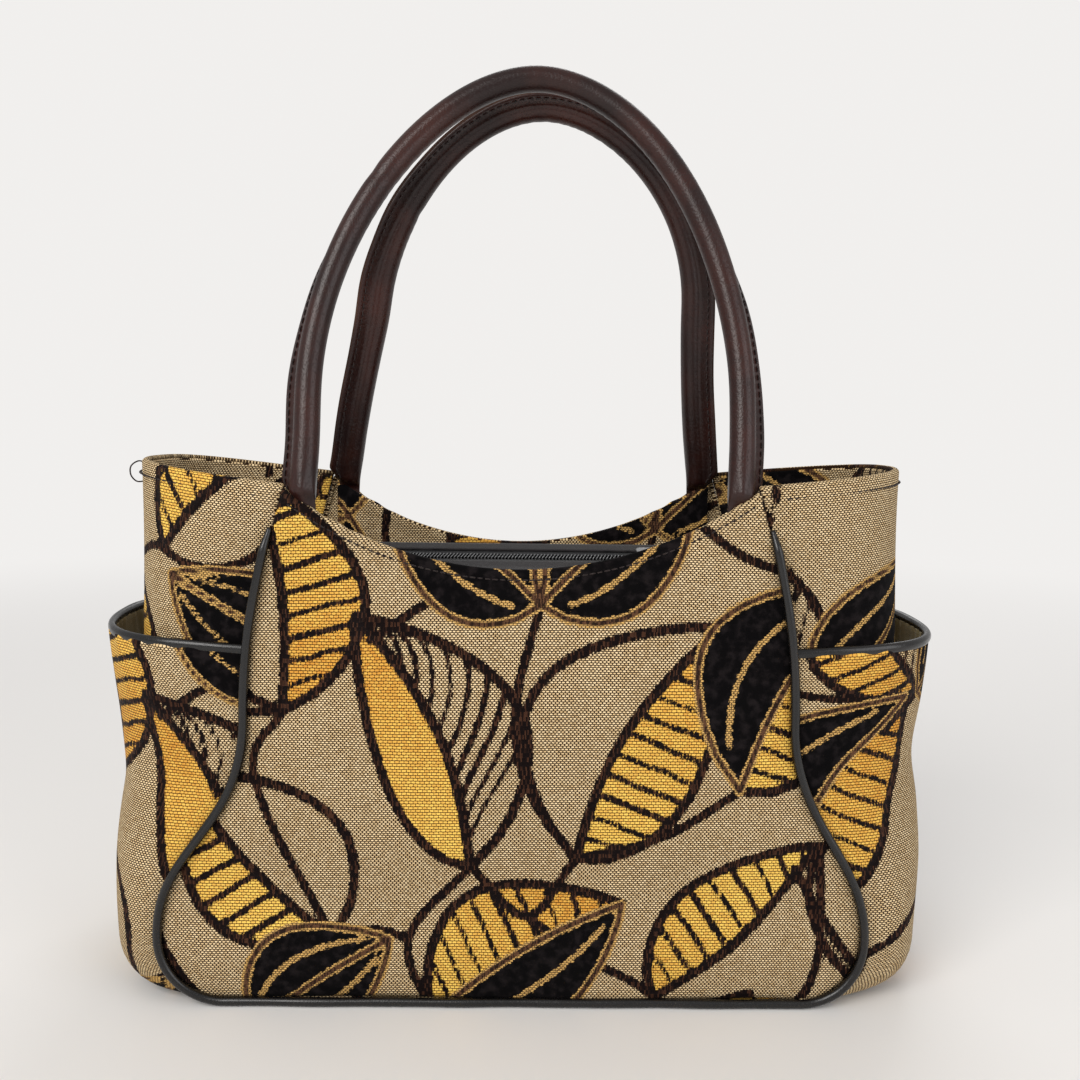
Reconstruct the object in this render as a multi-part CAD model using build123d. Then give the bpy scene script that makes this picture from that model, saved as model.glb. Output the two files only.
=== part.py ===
from build123d import *
import math
import os

# Woven tapestry shoulder bag with two rolled leather handles, a recessed zip and two end pockets.
# Frame: X to the bag's right, Y to its back, Z up. The origin is the middle of the base, on the floor.
# All sizes are in millimetres.

# Body
BASE_WIDTH = 302.0
CORNER_RADIUS = 28.0
WAIST_WIDTH = 228.0
WAIST_HEIGHT = 125.0
RIM_WIDTH = 196.0
RIM_HEIGHT = 221.0
RIM_DIP = 34.5
RIM_SAG = 7.0
PANEL_BELLY = 4.0
BODY_DEPTH = 121.0
SEAM_LIFT = 2.1
RIM_KNOT_SHARE = 0.62
UPPER_WAIST_KNOT_SHARE = 0.34
LOWER_WAIST_KNOT_SHARE = 0.50
BASE_KNOT_SHARE = 0.42
SIDE_TAPER_POWER = 1.9
BEYOND_SEAM_LIMIT = -0.6

# Gussets, the end walls between the two panels
GUSSET_REACH = 169.0
GUSSET_POCKET_REACH = 166.0
GUSSET_RISE = 8.0
GUSSET_CORNER_RADIUS = 18.0
BASE_SEAM_WIDTH = 250.0

# End pockets over the lower part of each gusset
POCKET_SEAM_HEIGHT = 152.0
POCKET_RISE = 4.0
POCKET_MOUTH_ROOM = 16.0
POCKET_WAIST_ROOM = 12.5
POCKET_WAIST_HEIGHT = 98.0
POCKET_BELLY_ROOM = 15.0
POCKET_BELLY_HEIGHT = 55.0
POCKET_CORNER_RADIUS = 22.0

# Cloth, seams and trims
TAPESTRY = 1.8
LINING = 0.5
BOARD = 1.6
BOARD_MARGIN = 6.0
LINING_INSET = 3.5
CLEARANCE = 0.15
SEAM_GAP = 0.2
PIPING_DIAMETER = 3.8
BINDING_DIAMETER = 3.4
BINDING_TUCK = 0.9
PIPING_TOP_DROP = 15.0
FACING_DEPTH = 35.0
FACING = 1.4
FACING_INSET = 3.2

# Handles: a leather tube over a cord, with a stitched flange along one side
HANDLE_DIAMETER = 10.8
HANDLE_CORE_DIAMETER = 8.2
HANDLE_EDGE_ROOM = 8.3
HANDLE_TOP_HEIGHT = 392.0
HANDLE_STRAIGHT_TOP = 262.0
HANDLE_TOP_GAP = 43.0
BACK_HANDLE_STRAIGHT_TOP = 300.0
BACK_HANDLE_LEFT_LEAN = 17.0
BACK_HANDLE_RIGHT_LEAN = 9.5
ARCH_SHOULDER_ANGLE = 42.0
HANDLE_SUNK_LENGTH = 21.6
FLANGE_WIDTH = 7.5
FLANGE_THICKNESS = 2.6
FLANGE_ANGLE = 58.0
TAB_WIDTH = 13.0
TAB_DEPTH = 22.0
TAB_THICKNESS = 2.0
TAB_LAP = 1.2
TAB_ROOM_STEEPNESS = 2.3
TAB_ROOM_BELOW = 8.0
TAB_ROOM_FADE = 6.0

# Zip: its middle line runs along X, closer to the back wall, and leans towards the front
ZIP_Y = 15.0
ZIP_HEIGHT = 183.0
ZIP_LEAN = 15.0
ZIP_LEFT = -58.5
ZIP_RIGHT = 85.0
TAPE_LEFT = -88.0
TAPE_RIGHT = 92.0
TAPE_THICKNESS = 0.6
TAPE_REACH = 14.0
COIL_PITCH = 1.6
COIL_TOOTH = 1.0
COIL_HALF_WIDTH = 3.2
COIL_HALF_GAP = 0.55
COIL_SPINE = 0.9
COIL_THICKNESS = 2.2
STRIP_EDGE = 7.0
STRIP_THICKNESS = 0.9
STRIP_DROP = 14.0
STRIP_OVERHANG = 1.0
STRIP_FALL_POWER = 1.3
STOP_LENGTH = 2.2
STOP_THICKNESS = 2.64
STOP_GAP = 0.95
SLIDER_LENGTH = 13.0
SLIDER_NOSE = 6.4
SLIDER_WIDTH = 9.4
SLIDER_PLATE = 1.3
SLIDER_CLEARANCE = 0.35
SLIDER_FLANGE = 0.9
BRIDGE_WIDTH = 0.5
BRIDGE_LENGTH = 3.0
BAIL_LENGTH = 7.6
BAIL_HEIGHT = 3.6
BAIL_WIDTH = 2.0
BAIL_WIRE = 1.2
PULL_LENGTH = 24.0
PULL_WIDTH = 7.0
PULL_THICKNESS = 1.2
PULL_EYE_LENGTH = 5.8
PULL_EYE_GAP = 0.35
PULL_BAR = 1.2

# Numbers of stations in the woven sheets
ROUND_STATIONS = 13
SIDE_STATIONS = 11
CORNER_STATIONS = 9
SHEET_COLUMNS = 13
FACING_ROWS = 11
FACING_COLUMNS = 41
TAB_ROWS = 7
TAB_COLUMNS = 5
STRIP_FLAT_ROWS = 4
STRIP_FALL_ROWS = 6
ROUNDNESS = 2.6

# Sizes that follow
POCKET_MOUTH_REACH = GUSSET_REACH + POCKET_MOUTH_ROOM
POCKET_WAIST_REACH = GUSSET_POCKET_REACH + POCKET_WAIST_ROOM
POCKET_BELLY_REACH = GUSSET_POCKET_REACH + POCKET_BELLY_ROOM
RIM_HALF = RIM_WIDTH / 2
WAIST_HALF = WAIST_WIDTH / 2
BASE_HALF = BASE_WIDTH / 2
HALF_DEPTH = BODY_DEPTH / 2
CORNER_X = BASE_HALF - CORNER_RADIUS
CORNER_Z = SEAM_LIFT + CORNER_RADIUS
BASE_SEAM_X = BASE_SEAM_WIDTH / 2
POCKET_WALL = TAPESTRY + 2 * CLEARANCE + LINING
GUSSET_RECESS = POCKET_WALL + 2 * CLEARANCE
GUSSET_HALF_DEPTH = HALF_DEPTH - GUSSET_RECESS
GUSSET_LIFT = GUSSET_RECESS + 2 * CLEARANCE
TAB_POCKET = TAB_THICKNESS + CLEARANCE
TAB_OFFSET = TAPESTRY + 1.5 * CLEARANCE
HANDLE_X = RIM_HALF - HANDLE_EDGE_ROOM
HANDLE_RADIUS = HANDLE_DIAMETER / 2
PIPING_RADIUS = PIPING_DIAMETER / 2
PIPING_Y = HALF_DEPTH + PIPING_RADIUS + 2 * CLEARANCE
BINDING_RADIUS = BINDING_DIAMETER / 2
SLIDER_X = ZIP_RIGHT + COIL_TOOTH / 2 - SLIDER_LENGTH / 2 - SLIDER_CLEARANCE
INNER_LAYER = TAPESTRY + 2 * CLEARANCE
BOARD_Z = TAPESTRY + 2 * CLEARANCE
STRIP_OFFSET = INNER_LAYER + FACING + CLEARANCE
FAR = 400.0


def smooth_step(value):
    """Rise from 0 to 1 with level ends."""
    value = min(max(value, 0.0), 1.0)
    return value * value * (3.0 - 2.0 * value)


def mix(low, high, share):
    """Point or number at a share of the way from low to high."""
    return low + (high - low) * share


def block(x_low, x_high, y_low, y_high, z_low, z_high):
    """Box between two corners."""
    middle = ((x_low + x_high) / 2, (y_low + y_high) / 2, (z_low + z_high) / 2)
    return Pos(*middle) * Box(x_high - x_low, y_high - y_low, z_high - z_low)


# Outline of the front and back panels, seen from the front


def upper_seam(inset):
    """Side seam from the rim's corner down to the waist."""
    rise = RIM_HEIGHT - WAIST_HEIGHT
    return Bezier(
        (RIM_HALF - inset, 0, RIM_HEIGHT),
        (mix(RIM_HALF, WAIST_HALF, RIM_KNOT_SHARE) - inset, 0, WAIST_HEIGHT + RIM_KNOT_SHARE * rise),
        (WAIST_HALF - inset, 0, WAIST_HEIGHT + UPPER_WAIST_KNOT_SHARE * rise),
        (WAIST_HALF - inset, 0, WAIST_HEIGHT),
    )


def lower_seam(inset):
    """Side seam from the waist out to the base's shoulder."""
    drop = WAIST_HEIGHT - CORNER_Z
    return Bezier(
        (WAIST_HALF - inset, 0, WAIST_HEIGHT),
        (WAIST_HALF - inset, 0, WAIST_HEIGHT - LOWER_WAIST_KNOT_SHARE * drop),
        (BASE_HALF - inset, 0, CORNER_Z + BASE_KNOT_SHARE * drop),
        (BASE_HALF - inset, 0, CORNER_Z),
    )


def corner_point(angle, inset):
    """Point of the rounded bottom corner, at an angle below the level."""
    radius = CORNER_RADIUS - inset
    turn = math.radians(angle)
    return (CORNER_X + radius * math.cos(turn), 0, CORNER_Z - radius * math.sin(turn))


def panel_outline(inset):
    """Closed outline at an inset from the seam line. Its level top is cut to the dipped rim later."""
    corner = ThreePointArc(corner_point(0, inset), corner_point(45, inset), corner_point(90, inset))
    side = [upper_seam(inset), lower_seam(inset), corner]
    other = [mirror(edge, about=Plane.YZ) for edge in side]
    bottom = Line(corner_point(90, inset), (-CORNER_X, 0, SEAM_LIFT + inset))
    peak = Line((RIM_HALF - inset, 0, RIM_HEIGHT), (-RIM_HALF + inset, 0, RIM_HEIGHT))
    return make_face(side + [bottom] + other + [peak])


def rim_height(x):
    """Height of the dipped rim of the front and back panels, an arc through its ends and its middle."""
    radius = (RIM_HALF**2 + RIM_DIP**2) / (2 * RIM_DIP)
    centre = RIM_HEIGHT - RIM_DIP + radius
    return centre - math.sqrt(radius**2 - min(abs(x), RIM_HALF) ** 2)


def below_rim(drop):
    """Block that holds everything lower than the dipped rim less a drop."""
    left = (-RIM_HALF, 0, RIM_HEIGHT - drop)
    right = (RIM_HALF, 0, RIM_HEIGHT - drop)
    dip = ThreePointArc(left, (0, 0, RIM_HEIGHT - RIM_DIP - drop), right)
    path = Polyline(right, (FAR, 0, RIM_HEIGHT - drop), (FAR, 0, -FAR), (-FAR, 0, -FAR),
                    (-FAR, 0, RIM_HEIGHT - drop), left)
    return extrude(make_face([dip, path]), amount=FAR, dir=(0, 1, 0), both=True)


def seam_half_width(z):
    """Half of the panel's width at a height, close to the side seam."""
    if z >= WAIST_HEIGHT:
        share = (z - WAIST_HEIGHT) / (RIM_HEIGHT - WAIST_HEIGHT)
        return WAIST_HALF - (WAIST_HALF - RIM_HALF) * min(share, 1.2) ** SIDE_TAPER_POWER
    return mix(BASE_HALF, WAIST_HALF, smooth_step((z - CORNER_Z) / (WAIST_HEIGHT - CORNER_Z)))


def panel_reach(x, z):
    """Distance from the bag's middle plane to the outer face of the front or back panel."""
    across = max(1.0 - (x / seam_half_width(z)) ** 2, BEYOND_SEAM_LIMIT)
    mid_rim = RIM_HEIGHT - RIM_DIP
    belly = PANEL_BELLY * across * math.sin(math.pi * min(max(z / mid_rim, 0.0), 1.0)) ** 2
    sag = RIM_SAG * across * smooth_step((z - WAIST_HEIGHT) / (mid_rim - WAIST_HEIGHT))
    return HALF_DEPTH + belly - sag


# Thick sheets


def side_edge(face, middle):
    """Edge of a face that runs through a point."""
    return min(face.edges(), key=lambda edge: edge.distance_to(Vertex(*middle)))


def thick_sheet(outer_rows, inner_rows):
    """Solid between two smooth sheets that are given as rows of points."""
    outer = Face.make_surface_from_array_of_points(outer_rows)
    inner = Face.make_surface_from_array_of_points(inner_rows)
    middle_row = len(outer_rows) // 2
    middle_column = len(outer_rows[0]) // 2
    sides = []
    for row, column in ((0, middle_column), (-1, middle_column), (middle_row, 0), (middle_row, -1)):
        edge_out = side_edge(outer, outer_rows[row][column])
        edge_in = side_edge(inner, inner_rows[row][column])
        sides.append(Face.make_surface_from_curves(edge_out, edge_in))
    return Solid(Shell([outer, inner] + sides))


def column_shares(count):
    """Even shares from -1 to 1."""
    return [-1.0 + 2.0 * index / (count - 1) for index in range(count)]


# Front and back panels, their facings and linings, made as the front ones


def panel_sheet(offset, thickness):
    """Wide upright sheet that follows the panel's face at an offset inside it."""
    columns = [share * (BASE_HALF + CORNER_RADIUS / 2) for share in column_shares(3 * SHEET_COLUMNS)]
    rows = [index * RIM_HEIGHT / (2 * SHEET_COLUMNS) for index in range(-1, 2 * SHEET_COLUMNS + 2)]
    outer = [[(x, offset - panel_reach(x, z), z) for x in columns] for z in rows]
    inner = [[(x, y + thickness, z) for x, y, z in row] for row in outer]
    return thick_sheet(outer, inner)


def panel_piece(offset, thickness, inset, drop):
    """Panel or lining: the sheet cut to its outline and to the dipped rim."""
    prism = extrude(panel_outline(inset), amount=FAR, dir=(0, 1, 0), both=True)
    return panel_sheet(offset, thickness) & prism & below_rim(drop)


def tab_bulge(x, depth):
    """How far the facing stands off the panel to make room for the ends of a handle."""
    beside = smooth_step(TAB_ROOM_STEEPNESS * (1.0 - abs(abs(x) - HANDLE_X) / TAB_WIDTH))
    above = smooth_step((TAB_DEPTH + TAB_ROOM_BELOW - depth) / TAB_ROOM_FADE)
    return TAB_POCKET * beside * above


def facing_point(share, depth, extra):
    """Point on the inner side of the rim, at a share of the width and a depth below the rim."""
    x = share * (RIM_HALF - FACING_INSET)
    z = rim_height(x) - depth
    return (x, INNER_LAYER + tab_bulge(x, depth) + extra - panel_reach(x, z), z)


def front_facing_piece():
    """Band of tapestry inside the rim, with room for the handle's ends."""
    depths = [index * FACING_DEPTH / (FACING_ROWS - 1) for index in range(FACING_ROWS)]
    shares = column_shares(FACING_COLUMNS)
    outer = [[facing_point(share, depth, 0.0) for share in shares] for depth in depths]
    inner = [[facing_point(share, depth, FACING) for share in shares] for depth in depths]
    return thick_sheet(outer, inner)


# Gussets and pockets, made as the right ones


def side_stations(bottom_height, top_height, count):
    """Heights down the side seam, from the top to the shoulder."""
    return [mix(top_height, bottom_height, index / (count - 1)) for index in range(count)]


def seam_point(z):
    """Point on the side seam at a height above the shoulder."""
    edge = upper_seam(0) if z >= WAIST_HEIGHT else lower_seam(0)
    cut = edge.intersect(Line((0, 0, z), (FAR, 0, z)))
    if cut is None:
        return (seam_half_width(z), z)
    points = cut.vertices() if hasattr(cut, "vertices") else list(cut)
    return (points[0].X, z)


def gusset_reach(z):
    """Half of the bag's length at the middle of the gusset."""
    return mix(GUSSET_POCKET_REACH, GUSSET_REACH,
               smooth_step((z - WAIST_HEIGHT) / (POCKET_SEAM_HEIGHT - WAIST_HEIGHT)))


def pocket_reach(z):
    """Half of the bag's length at the middle of the pocket, which is nipped in at its own waist."""
    if z >= POCKET_WAIST_HEIGHT:
        share = smooth_step((z - POCKET_WAIST_HEIGHT) / (POCKET_SEAM_HEIGHT - POCKET_WAIST_HEIGHT))
        return mix(POCKET_WAIST_REACH, POCKET_MOUTH_REACH, share)
    share = smooth_step((POCKET_WAIST_HEIGHT - z) / (POCKET_WAIST_HEIGHT - POCKET_BELLY_HEIGHT))
    return mix(POCKET_WAIST_REACH, POCKET_BELLY_REACH, share)


def wrapped_corner(reach, radius, lift, share):
    """Point and outward direction on the end wall's middle line as it turns under the bag."""
    upright = CORNER_Z - lift - radius
    turn = radius * math.pi / 2
    run = reach - radius - BASE_SEAM_X
    place = share * (upright + turn + run)
    if place < upright:
        return (reach, CORNER_Z - place), (1.0, 0.0)
    if place < upright + turn:
        angle = (place - upright) / radius
        return ((reach - radius + radius * math.cos(angle), lift + radius - radius * math.sin(angle)),
                (math.cos(angle), -math.sin(angle)))
    return (reach - radius - (place - upright - turn), lift), (0.0, -1.0)


def end_wall_stations(top_height, top_rise, reach_at, radius, lift):
    """Stations down an end wall: seam point, middle point and outward direction there."""
    stations = []
    for z in side_stations(WAIST_HEIGHT, top_height, SIDE_STATIONS):
        rise = top_rise * smooth_step((z - WAIST_HEIGHT) / (top_height - WAIST_HEIGHT))
        stations.append((seam_point(z), (reach_at(z), z + rise), (1.0, 0.0)))
    for z in side_stations(CORNER_Z, WAIST_HEIGHT, SIDE_STATIONS)[1:-1]:
        stations.append((seam_point(z), (reach_at(z), z), (1.0, 0.0)))
    for index in range(CORNER_STATIONS + 1):
        share = index / CORNER_STATIONS
        x, _, z = corner_point(90.0 * share, 0)
        slide = (CORNER_X - BASE_SEAM_X) * smooth_step(share)
        middle, outward = wrapped_corner(reach_at(0.0), radius, lift, share)
        stations.append(((x - slide, z + lift * smooth_step(share)), middle, outward))
    return stations


def round_shares():
    """Positions round the end wall, from the front seam to the back seam."""
    return [math.pi * index / (ROUND_STATIONS - 1) for index in range(ROUND_STATIONS)]


def wall_point(station, angle, half_depth, inset):
    """Point of the end wall at a station, at an inset under its outer face."""
    seam, middle, outward = station
    power = 2.0 / ROUNDNESS
    bulge = abs(math.sin(angle)) ** power
    side = -math.copysign(abs(math.cos(angle)) ** power, math.cos(angle))
    x = mix(seam[0] + SEAM_GAP, middle[0], bulge) - inset * math.sin(angle) * outward[0]
    z = mix(seam[1], middle[1], bulge) - inset * math.sin(angle) * outward[1]
    y = half_depth * side + inset * math.cos(angle)
    return (x, y, z)


def end_wall_piece(stations, half_depth, inset, thickness):
    """One layer of an end wall."""
    angles = round_shares()
    outer = [[wall_point(station, angle, half_depth, inset) for angle in angles]
             for station in stations]
    inner = [[wall_point(station, angle, half_depth, inset + thickness) for angle in angles]
             for station in stations]
    return thick_sheet(outer, inner)


def stations_from(stations, start, stop):
    """Stations between two places down the wall, with the first and last ones interpolated."""
    def at(place):
        low = min(int(place), len(stations) - 2)
        share = place - low
        return tuple(
            tuple(mix(a, b, share) for a, b in zip(first, second))
            for first, second in zip(stations[low], stations[low + 1])
        )

    inner = [index for index in range(len(stations)) if start < index < stop]
    return [at(start)] + [stations[index] for index in inner] + [at(stop)]


def binding_piece(station):
    """Round leather binding along the top edge of a pocket."""
    inset = POCKET_WALL - BINDING_RADIUS
    lift = BINDING_RADIUS + CLEARANCE
    points = []
    for angle in round_shares():
        x, y, z = wall_point(station, angle, HALF_DEPTH - BINDING_TUCK, inset)
        points.append((x, y, z + lift))
    path = Spline(*points)
    start = Plane(origin=path @ 0, z_dir=path % 0)
    return sweep(start * Circle(BINDING_RADIUS), path=path)


def base_piece():
    """Flat tapestry base between the two panels, with its long lower edges rounded."""
    half = BASE_SEAM_X - SEAM_GAP
    base = block(-half, half, -HALF_DEPTH, HALF_DEPTH, 0.0, TAPESTRY)
    long_edges = base.edges().filter_by(Axis.X).sort_by(Axis.Z)[:2]
    return fillet(long_edges, TAPESTRY / 2)


def piping_piece():
    """Leather piping down one side of the front panel, along the bottom and up the other side."""
    drop = SEAM_LIFT - PIPING_RADIUS - CLEARANCE
    corner = ThreePointArc(corner_point(0, drop), corner_point(45, drop), corner_point(90, drop))
    top = upper_seam(drop)
    side = [top, lower_seam(drop), corner]
    bottom = Line(corner_point(90, drop), (0, 0, SEAM_LIFT + drop))
    half = Wire(side + [bottom])
    path = Pos(0, -PIPING_Y, 0) * half
    start = Plane(origin=path @ 0, z_dir=path % 0)
    right = sweep(start * Circle(PIPING_RADIUS), path=path)
    piece = right + mirror(right, about=Plane.YZ)
    return piece & below_rim(PIPING_TOP_DROP)


# Handles, made in front, where the back one is drawn before it is mirrored


def handle_root_reach():
    """Distance of a handle's legs from the bag's middle plane where they leave the rim."""
    reach = panel_reach(HANDLE_X, rim_height(HANDLE_X))
    return reach - TAB_OFFSET - TAB_THICKNESS / 2


def handle_plane():
    """Plane that a leaning handle lies in: its origin is at the rim, midway between the legs."""
    rise = HANDLE_TOP_HEIGHT - rim_height(HANDLE_X)
    lean = handle_root_reach() - HANDLE_TOP_GAP / 2
    origin = (0, -handle_root_reach(), rim_height(HANDLE_X))
    return Plane(origin=origin, x_dir=(1, 0, 0), z_dir=(0, -rise, lean))


def height_in_plane(height):
    """Distance up a handle's plane at which it reaches a height."""
    rise = HANDLE_TOP_HEIGHT - rim_height(HANDLE_X)
    stretch = math.hypot(rise, handle_root_reach() - HANDLE_TOP_GAP / 2) / rise
    return (height - rim_height(HANDLE_X)) * stretch


def front_handle_path(start_drop):
    """Middle line of the front handle: two straight legs and half an ellipse."""
    straight = height_in_plane(HANDLE_STRAIGHT_TOP)
    arch = height_in_plane(HANDLE_TOP_HEIGHT) - straight
    left = Line((-HANDLE_X, -start_drop), (-HANDLE_X, straight))
    over = EllipticalCenterArc((0, straight), HANDLE_X, arch, start_angle=180, arc_size=-180)
    right = Line((HANDLE_X, straight), (HANDLE_X, -start_drop))
    return handle_plane() * Wire([left, over, right])


def back_handle_path(start_drop):
    """Middle line of the back handle, whose soft legs lean towards each other."""
    straight = height_in_plane(BACK_HANDLE_STRAIGHT_TOP)
    arch = height_in_plane(HANDLE_TOP_HEIGHT) - straight
    left_slope = BACK_HANDLE_LEFT_LEAN / straight
    right_slope = BACK_HANDLE_RIGHT_LEAN / straight
    left_end = BACK_HANDLE_LEFT_LEAN - HANDLE_X
    right_end = HANDLE_X - BACK_HANDLE_RIGHT_LEAN
    middle = (left_end + right_end) / 2
    half = (right_end - left_end) / 2
    rises = [0, ARCH_SHOULDER_ANGLE, 90, 180 - ARCH_SHOULDER_ANGLE, 180]
    turns = [math.radians(180 - rise) for rise in rises]
    points = [(middle + half * math.cos(turn), straight + arch * math.sin(turn)) for turn in turns]
    over = Spline(*points, tangents=[(left_slope, 1), (right_slope, -1)])
    left = Line((-HANDLE_X - left_slope * start_drop, -start_drop), points[0])
    right = Line(points[-1], (HANDLE_X + right_slope * start_drop, -start_drop))
    return handle_plane() * Wire([left, over, right])


def handle_section_plane(path):
    """Plane across the start of a handle: its x axis points out of the arch."""
    start = path @ 0
    return Plane(origin=start, x_dir=(-1, 0, 0), z_dir=path % 0)


def handle_tab():
    """Flat leather end of the right leg, sewn between the panel and its facing."""
    outer = []
    inner = []
    for index in range(TAB_ROWS):
        depth = index * (TAB_DEPTH + TAB_LAP) / (TAB_ROWS - 1) - TAB_LAP
        columns = [HANDLE_X + share * TAB_WIDTH / 2 for share in column_shares(TAB_COLUMNS)]
        heights = [rim_height(x) - depth for x in columns]
        reach = [panel_reach(x, z) - TAB_OFFSET for x, z in zip(columns, heights)]
        outer.append([(x, -y, z) for x, y, z in zip(columns, reach, heights)])
        inner.append([(x, TAB_THICKNESS - y, z) for x, y, z in zip(columns, reach, heights)])
    return thick_sheet(outer, inner)


def handle_cover(path):
    """Leather tube with its stitched flange, open inside for the cord, with two flat ends."""
    plane = handle_section_plane(path)
    reach = HANDLE_RADIUS + FLANGE_WIDTH
    flange = Rot(0, 0, -FLANGE_ANGLE) * Pos(reach / 2, 0, 0) * Rectangle(reach, FLANGE_THICKNESS)
    bore = Circle(HANDLE_CORE_DIAMETER / 2 + CLEARANCE)
    section = Circle(HANDLE_RADIUS) + flange - bore
    cover = sweep(plane * section, path=path) - below_rim(-2 * CLEARANCE)
    tab = handle_tab()
    return cover + tab + mirror(tab, about=Plane.YZ)


def handle_core(path):
    """Cord inside a handle."""
    plane = handle_section_plane(path)
    core = sweep(plane * Circle(HANDLE_CORE_DIAMETER / 2), path=path)
    return core - below_rim(-TAB_LAP - CLEARANCE)


# Zip, drawn flat about its own middle line and then leaned and put in place


def zip_place(shape):
    """Lean a zip piece about its middle line and move it to its place."""
    return Pos(0, ZIP_Y, ZIP_HEIGHT) * Rot(ZIP_LEAN, 0, 0) * shape


def zip_point(y, z):
    """Depth and height in the bag of a point of the zip's own section."""
    lean = math.radians(ZIP_LEAN)
    return (ZIP_Y + y * math.cos(lean) - z * math.sin(lean),
            ZIP_HEIGHT + y * math.sin(lean) + z * math.cos(lean))


def coil_piece():
    """Front row of the zip's coil: a spine with one tooth for each turn."""
    root = -COIL_HALF_WIDTH
    spine = root + COIL_SPINE
    tip = -COIL_HALF_GAP
    points = [(ZIP_LEFT, root), (ZIP_LEFT, spine)]
    count = int((ZIP_RIGHT - ZIP_LEFT - COIL_TOOTH) / COIL_PITCH)
    for index in range(count + 1):
        left = ZIP_LEFT + COIL_TOOTH / 2 + index * COIL_PITCH
        right = min(left + COIL_TOOTH, ZIP_RIGHT)
        points += [(left, spine), (left, tip), (right, tip), (right, spine)]
    points += [(ZIP_RIGHT + COIL_TOOTH / 2, spine), (ZIP_RIGHT + COIL_TOOTH / 2, root)]
    face = make_face(Polyline(*points, close=True))
    return Pos(0, 0, -COIL_THICKNESS / 2) * extrude(face, amount=COIL_THICKNESS)


def tape_piece():
    """Front tape of the zip."""
    inner = -COIL_HALF_WIDTH - CLEARANCE
    half = TAPE_THICKNESS / 2
    return block(TAPE_LEFT, TAPE_RIGHT, -TAPE_REACH, inner, -half, half)


def strip_rows(side, extra):
    """Rows of points of a zip strip: flat on its tape, and then down to the facing."""
    level = TAPE_THICKNESS / 2 + CLEARANCE + extra
    shares = [index / (STRIP_FLAT_ROWS - 1) for index in range(STRIP_FLAT_ROWS)]
    reach = TAPE_REACH + STRIP_OVERHANG
    places = [zip_point(side * mix(STRIP_EDGE, reach, share), level) for share in shares]
    edge_y, edge_z = places[-1]
    low_z = ZIP_HEIGHT - STRIP_DROP + extra
    rows = [[(x, y, z) for x in strip_columns()] for y, z in places]
    for index in range(1, STRIP_FALL_ROWS + 1):
        share = index / STRIP_FALL_ROWS
        row = []
        for x in strip_columns():
            wall_y = side * (panel_reach(x, low_z) - STRIP_OFFSET - CLEARANCE)
            row.append((x, mix(edge_y, wall_y, share), mix(edge_z, low_z, share**STRIP_FALL_POWER)))
        rows.append(row)
    return rows


def strip_columns():
    """Places along a zip strip."""
    return [mix(TAPE_LEFT, TAPE_RIGHT, (share + 1) / 2) for share in column_shares(SHEET_COLUMNS)]


def strip_piece(side):
    """Black cloth strip that carries one side of the zip."""
    return thick_sheet(strip_rows(side, STRIP_THICKNESS), strip_rows(side, 0.0))


def slider_plate(z_low):
    """One wing plate of the slider, narrower at its nose."""
    half = SLIDER_LENGTH / 2
    wide = SLIDER_WIDTH / 2
    nose = SLIDER_NOSE / 2
    outline = Polyline((-half, wide), (0, wide), (half, nose), (half, -nose), (0, -wide), (-half, -wide),
                       close=True)
    plate = Pos(0, 0, z_low) * extrude(make_face(outline), amount=SLIDER_PLATE)
    upright = plate.edges().filter_by(Axis.Z)
    return fillet(upright, SLIDER_PLATE / 2)


def slider_shape():
    """Slider about its own middle: two plates, side flanges, the bridge and the bail for the pull."""
    level = COIL_THICKNESS / 2 + SLIDER_CLEARANCE
    body = slider_plate(level) + slider_plate(-level - SLIDER_PLATE)
    half = SLIDER_LENGTH / 2
    body += block(half - BRIDGE_LENGTH, half, -BRIDGE_WIDTH / 2, BRIDGE_WIDTH / 2, -level, level)
    outer = SLIDER_WIDTH / 2
    gap = TAPE_THICKNESS / 2 + SLIDER_CLEARANCE
    for side in (-1, 1):
        y_low = min(side * outer, side * (outer - SLIDER_FLANGE))
        for z_low, z_high in ((gap, level), (-level, -gap)):
            body += block(-half + 1, -0.5, y_low, y_low + SLIDER_FLANGE, z_low, z_high)
    top = level + SLIDER_PLATE
    reach = BAIL_LENGTH / 2
    bail = block(-reach, reach, -BAIL_WIDTH / 2, BAIL_WIDTH / 2, top, top + BAIL_HEIGHT)
    hole = block(-reach + BAIL_WIRE, reach - BAIL_WIRE, -BAIL_WIDTH, BAIL_WIDTH,
                 top, top + BAIL_HEIGHT - BAIL_WIRE)
    return body + (bail - hole)


def pull_pivot_height():
    """Height of the pull's bar above the zip's middle."""
    top = COIL_THICKNESS / 2 + SLIDER_CLEARANCE + SLIDER_PLATE
    return top + (BAIL_HEIGHT - BAIL_WIRE) / 2


def pull_shape():
    """Pull tab lying back over the chain: an eye round the bail's post, a bar and a rounded tab."""
    z = pull_pivot_height()
    half = PULL_THICKNESS / 2
    side = BAIL_WIDTH / 2 + PULL_EYE_GAP
    arm = side + PULL_BAR
    outer = block(-PULL_LENGTH, PULL_BAR / 2, -PULL_WIDTH / 2, PULL_WIDTH / 2, z - half, z + half)
    outer = fillet(outer.edges().filter_by(Axis.Z).sort_by(Axis.X)[:2], PULL_WIDTH / 3)
    for turn in (-1, 1):
        y_low = min(turn * arm, turn * PULL_WIDTH)
        outer -= block(-PULL_EYE_LENGTH, PULL_BAR, y_low, y_low + PULL_WIDTH - arm, z - 3, z + 3)
    eye = block(-PULL_EYE_LENGTH, -PULL_BAR / 2, -side, side, z - 3, z + 3)
    return outer - eye


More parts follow.
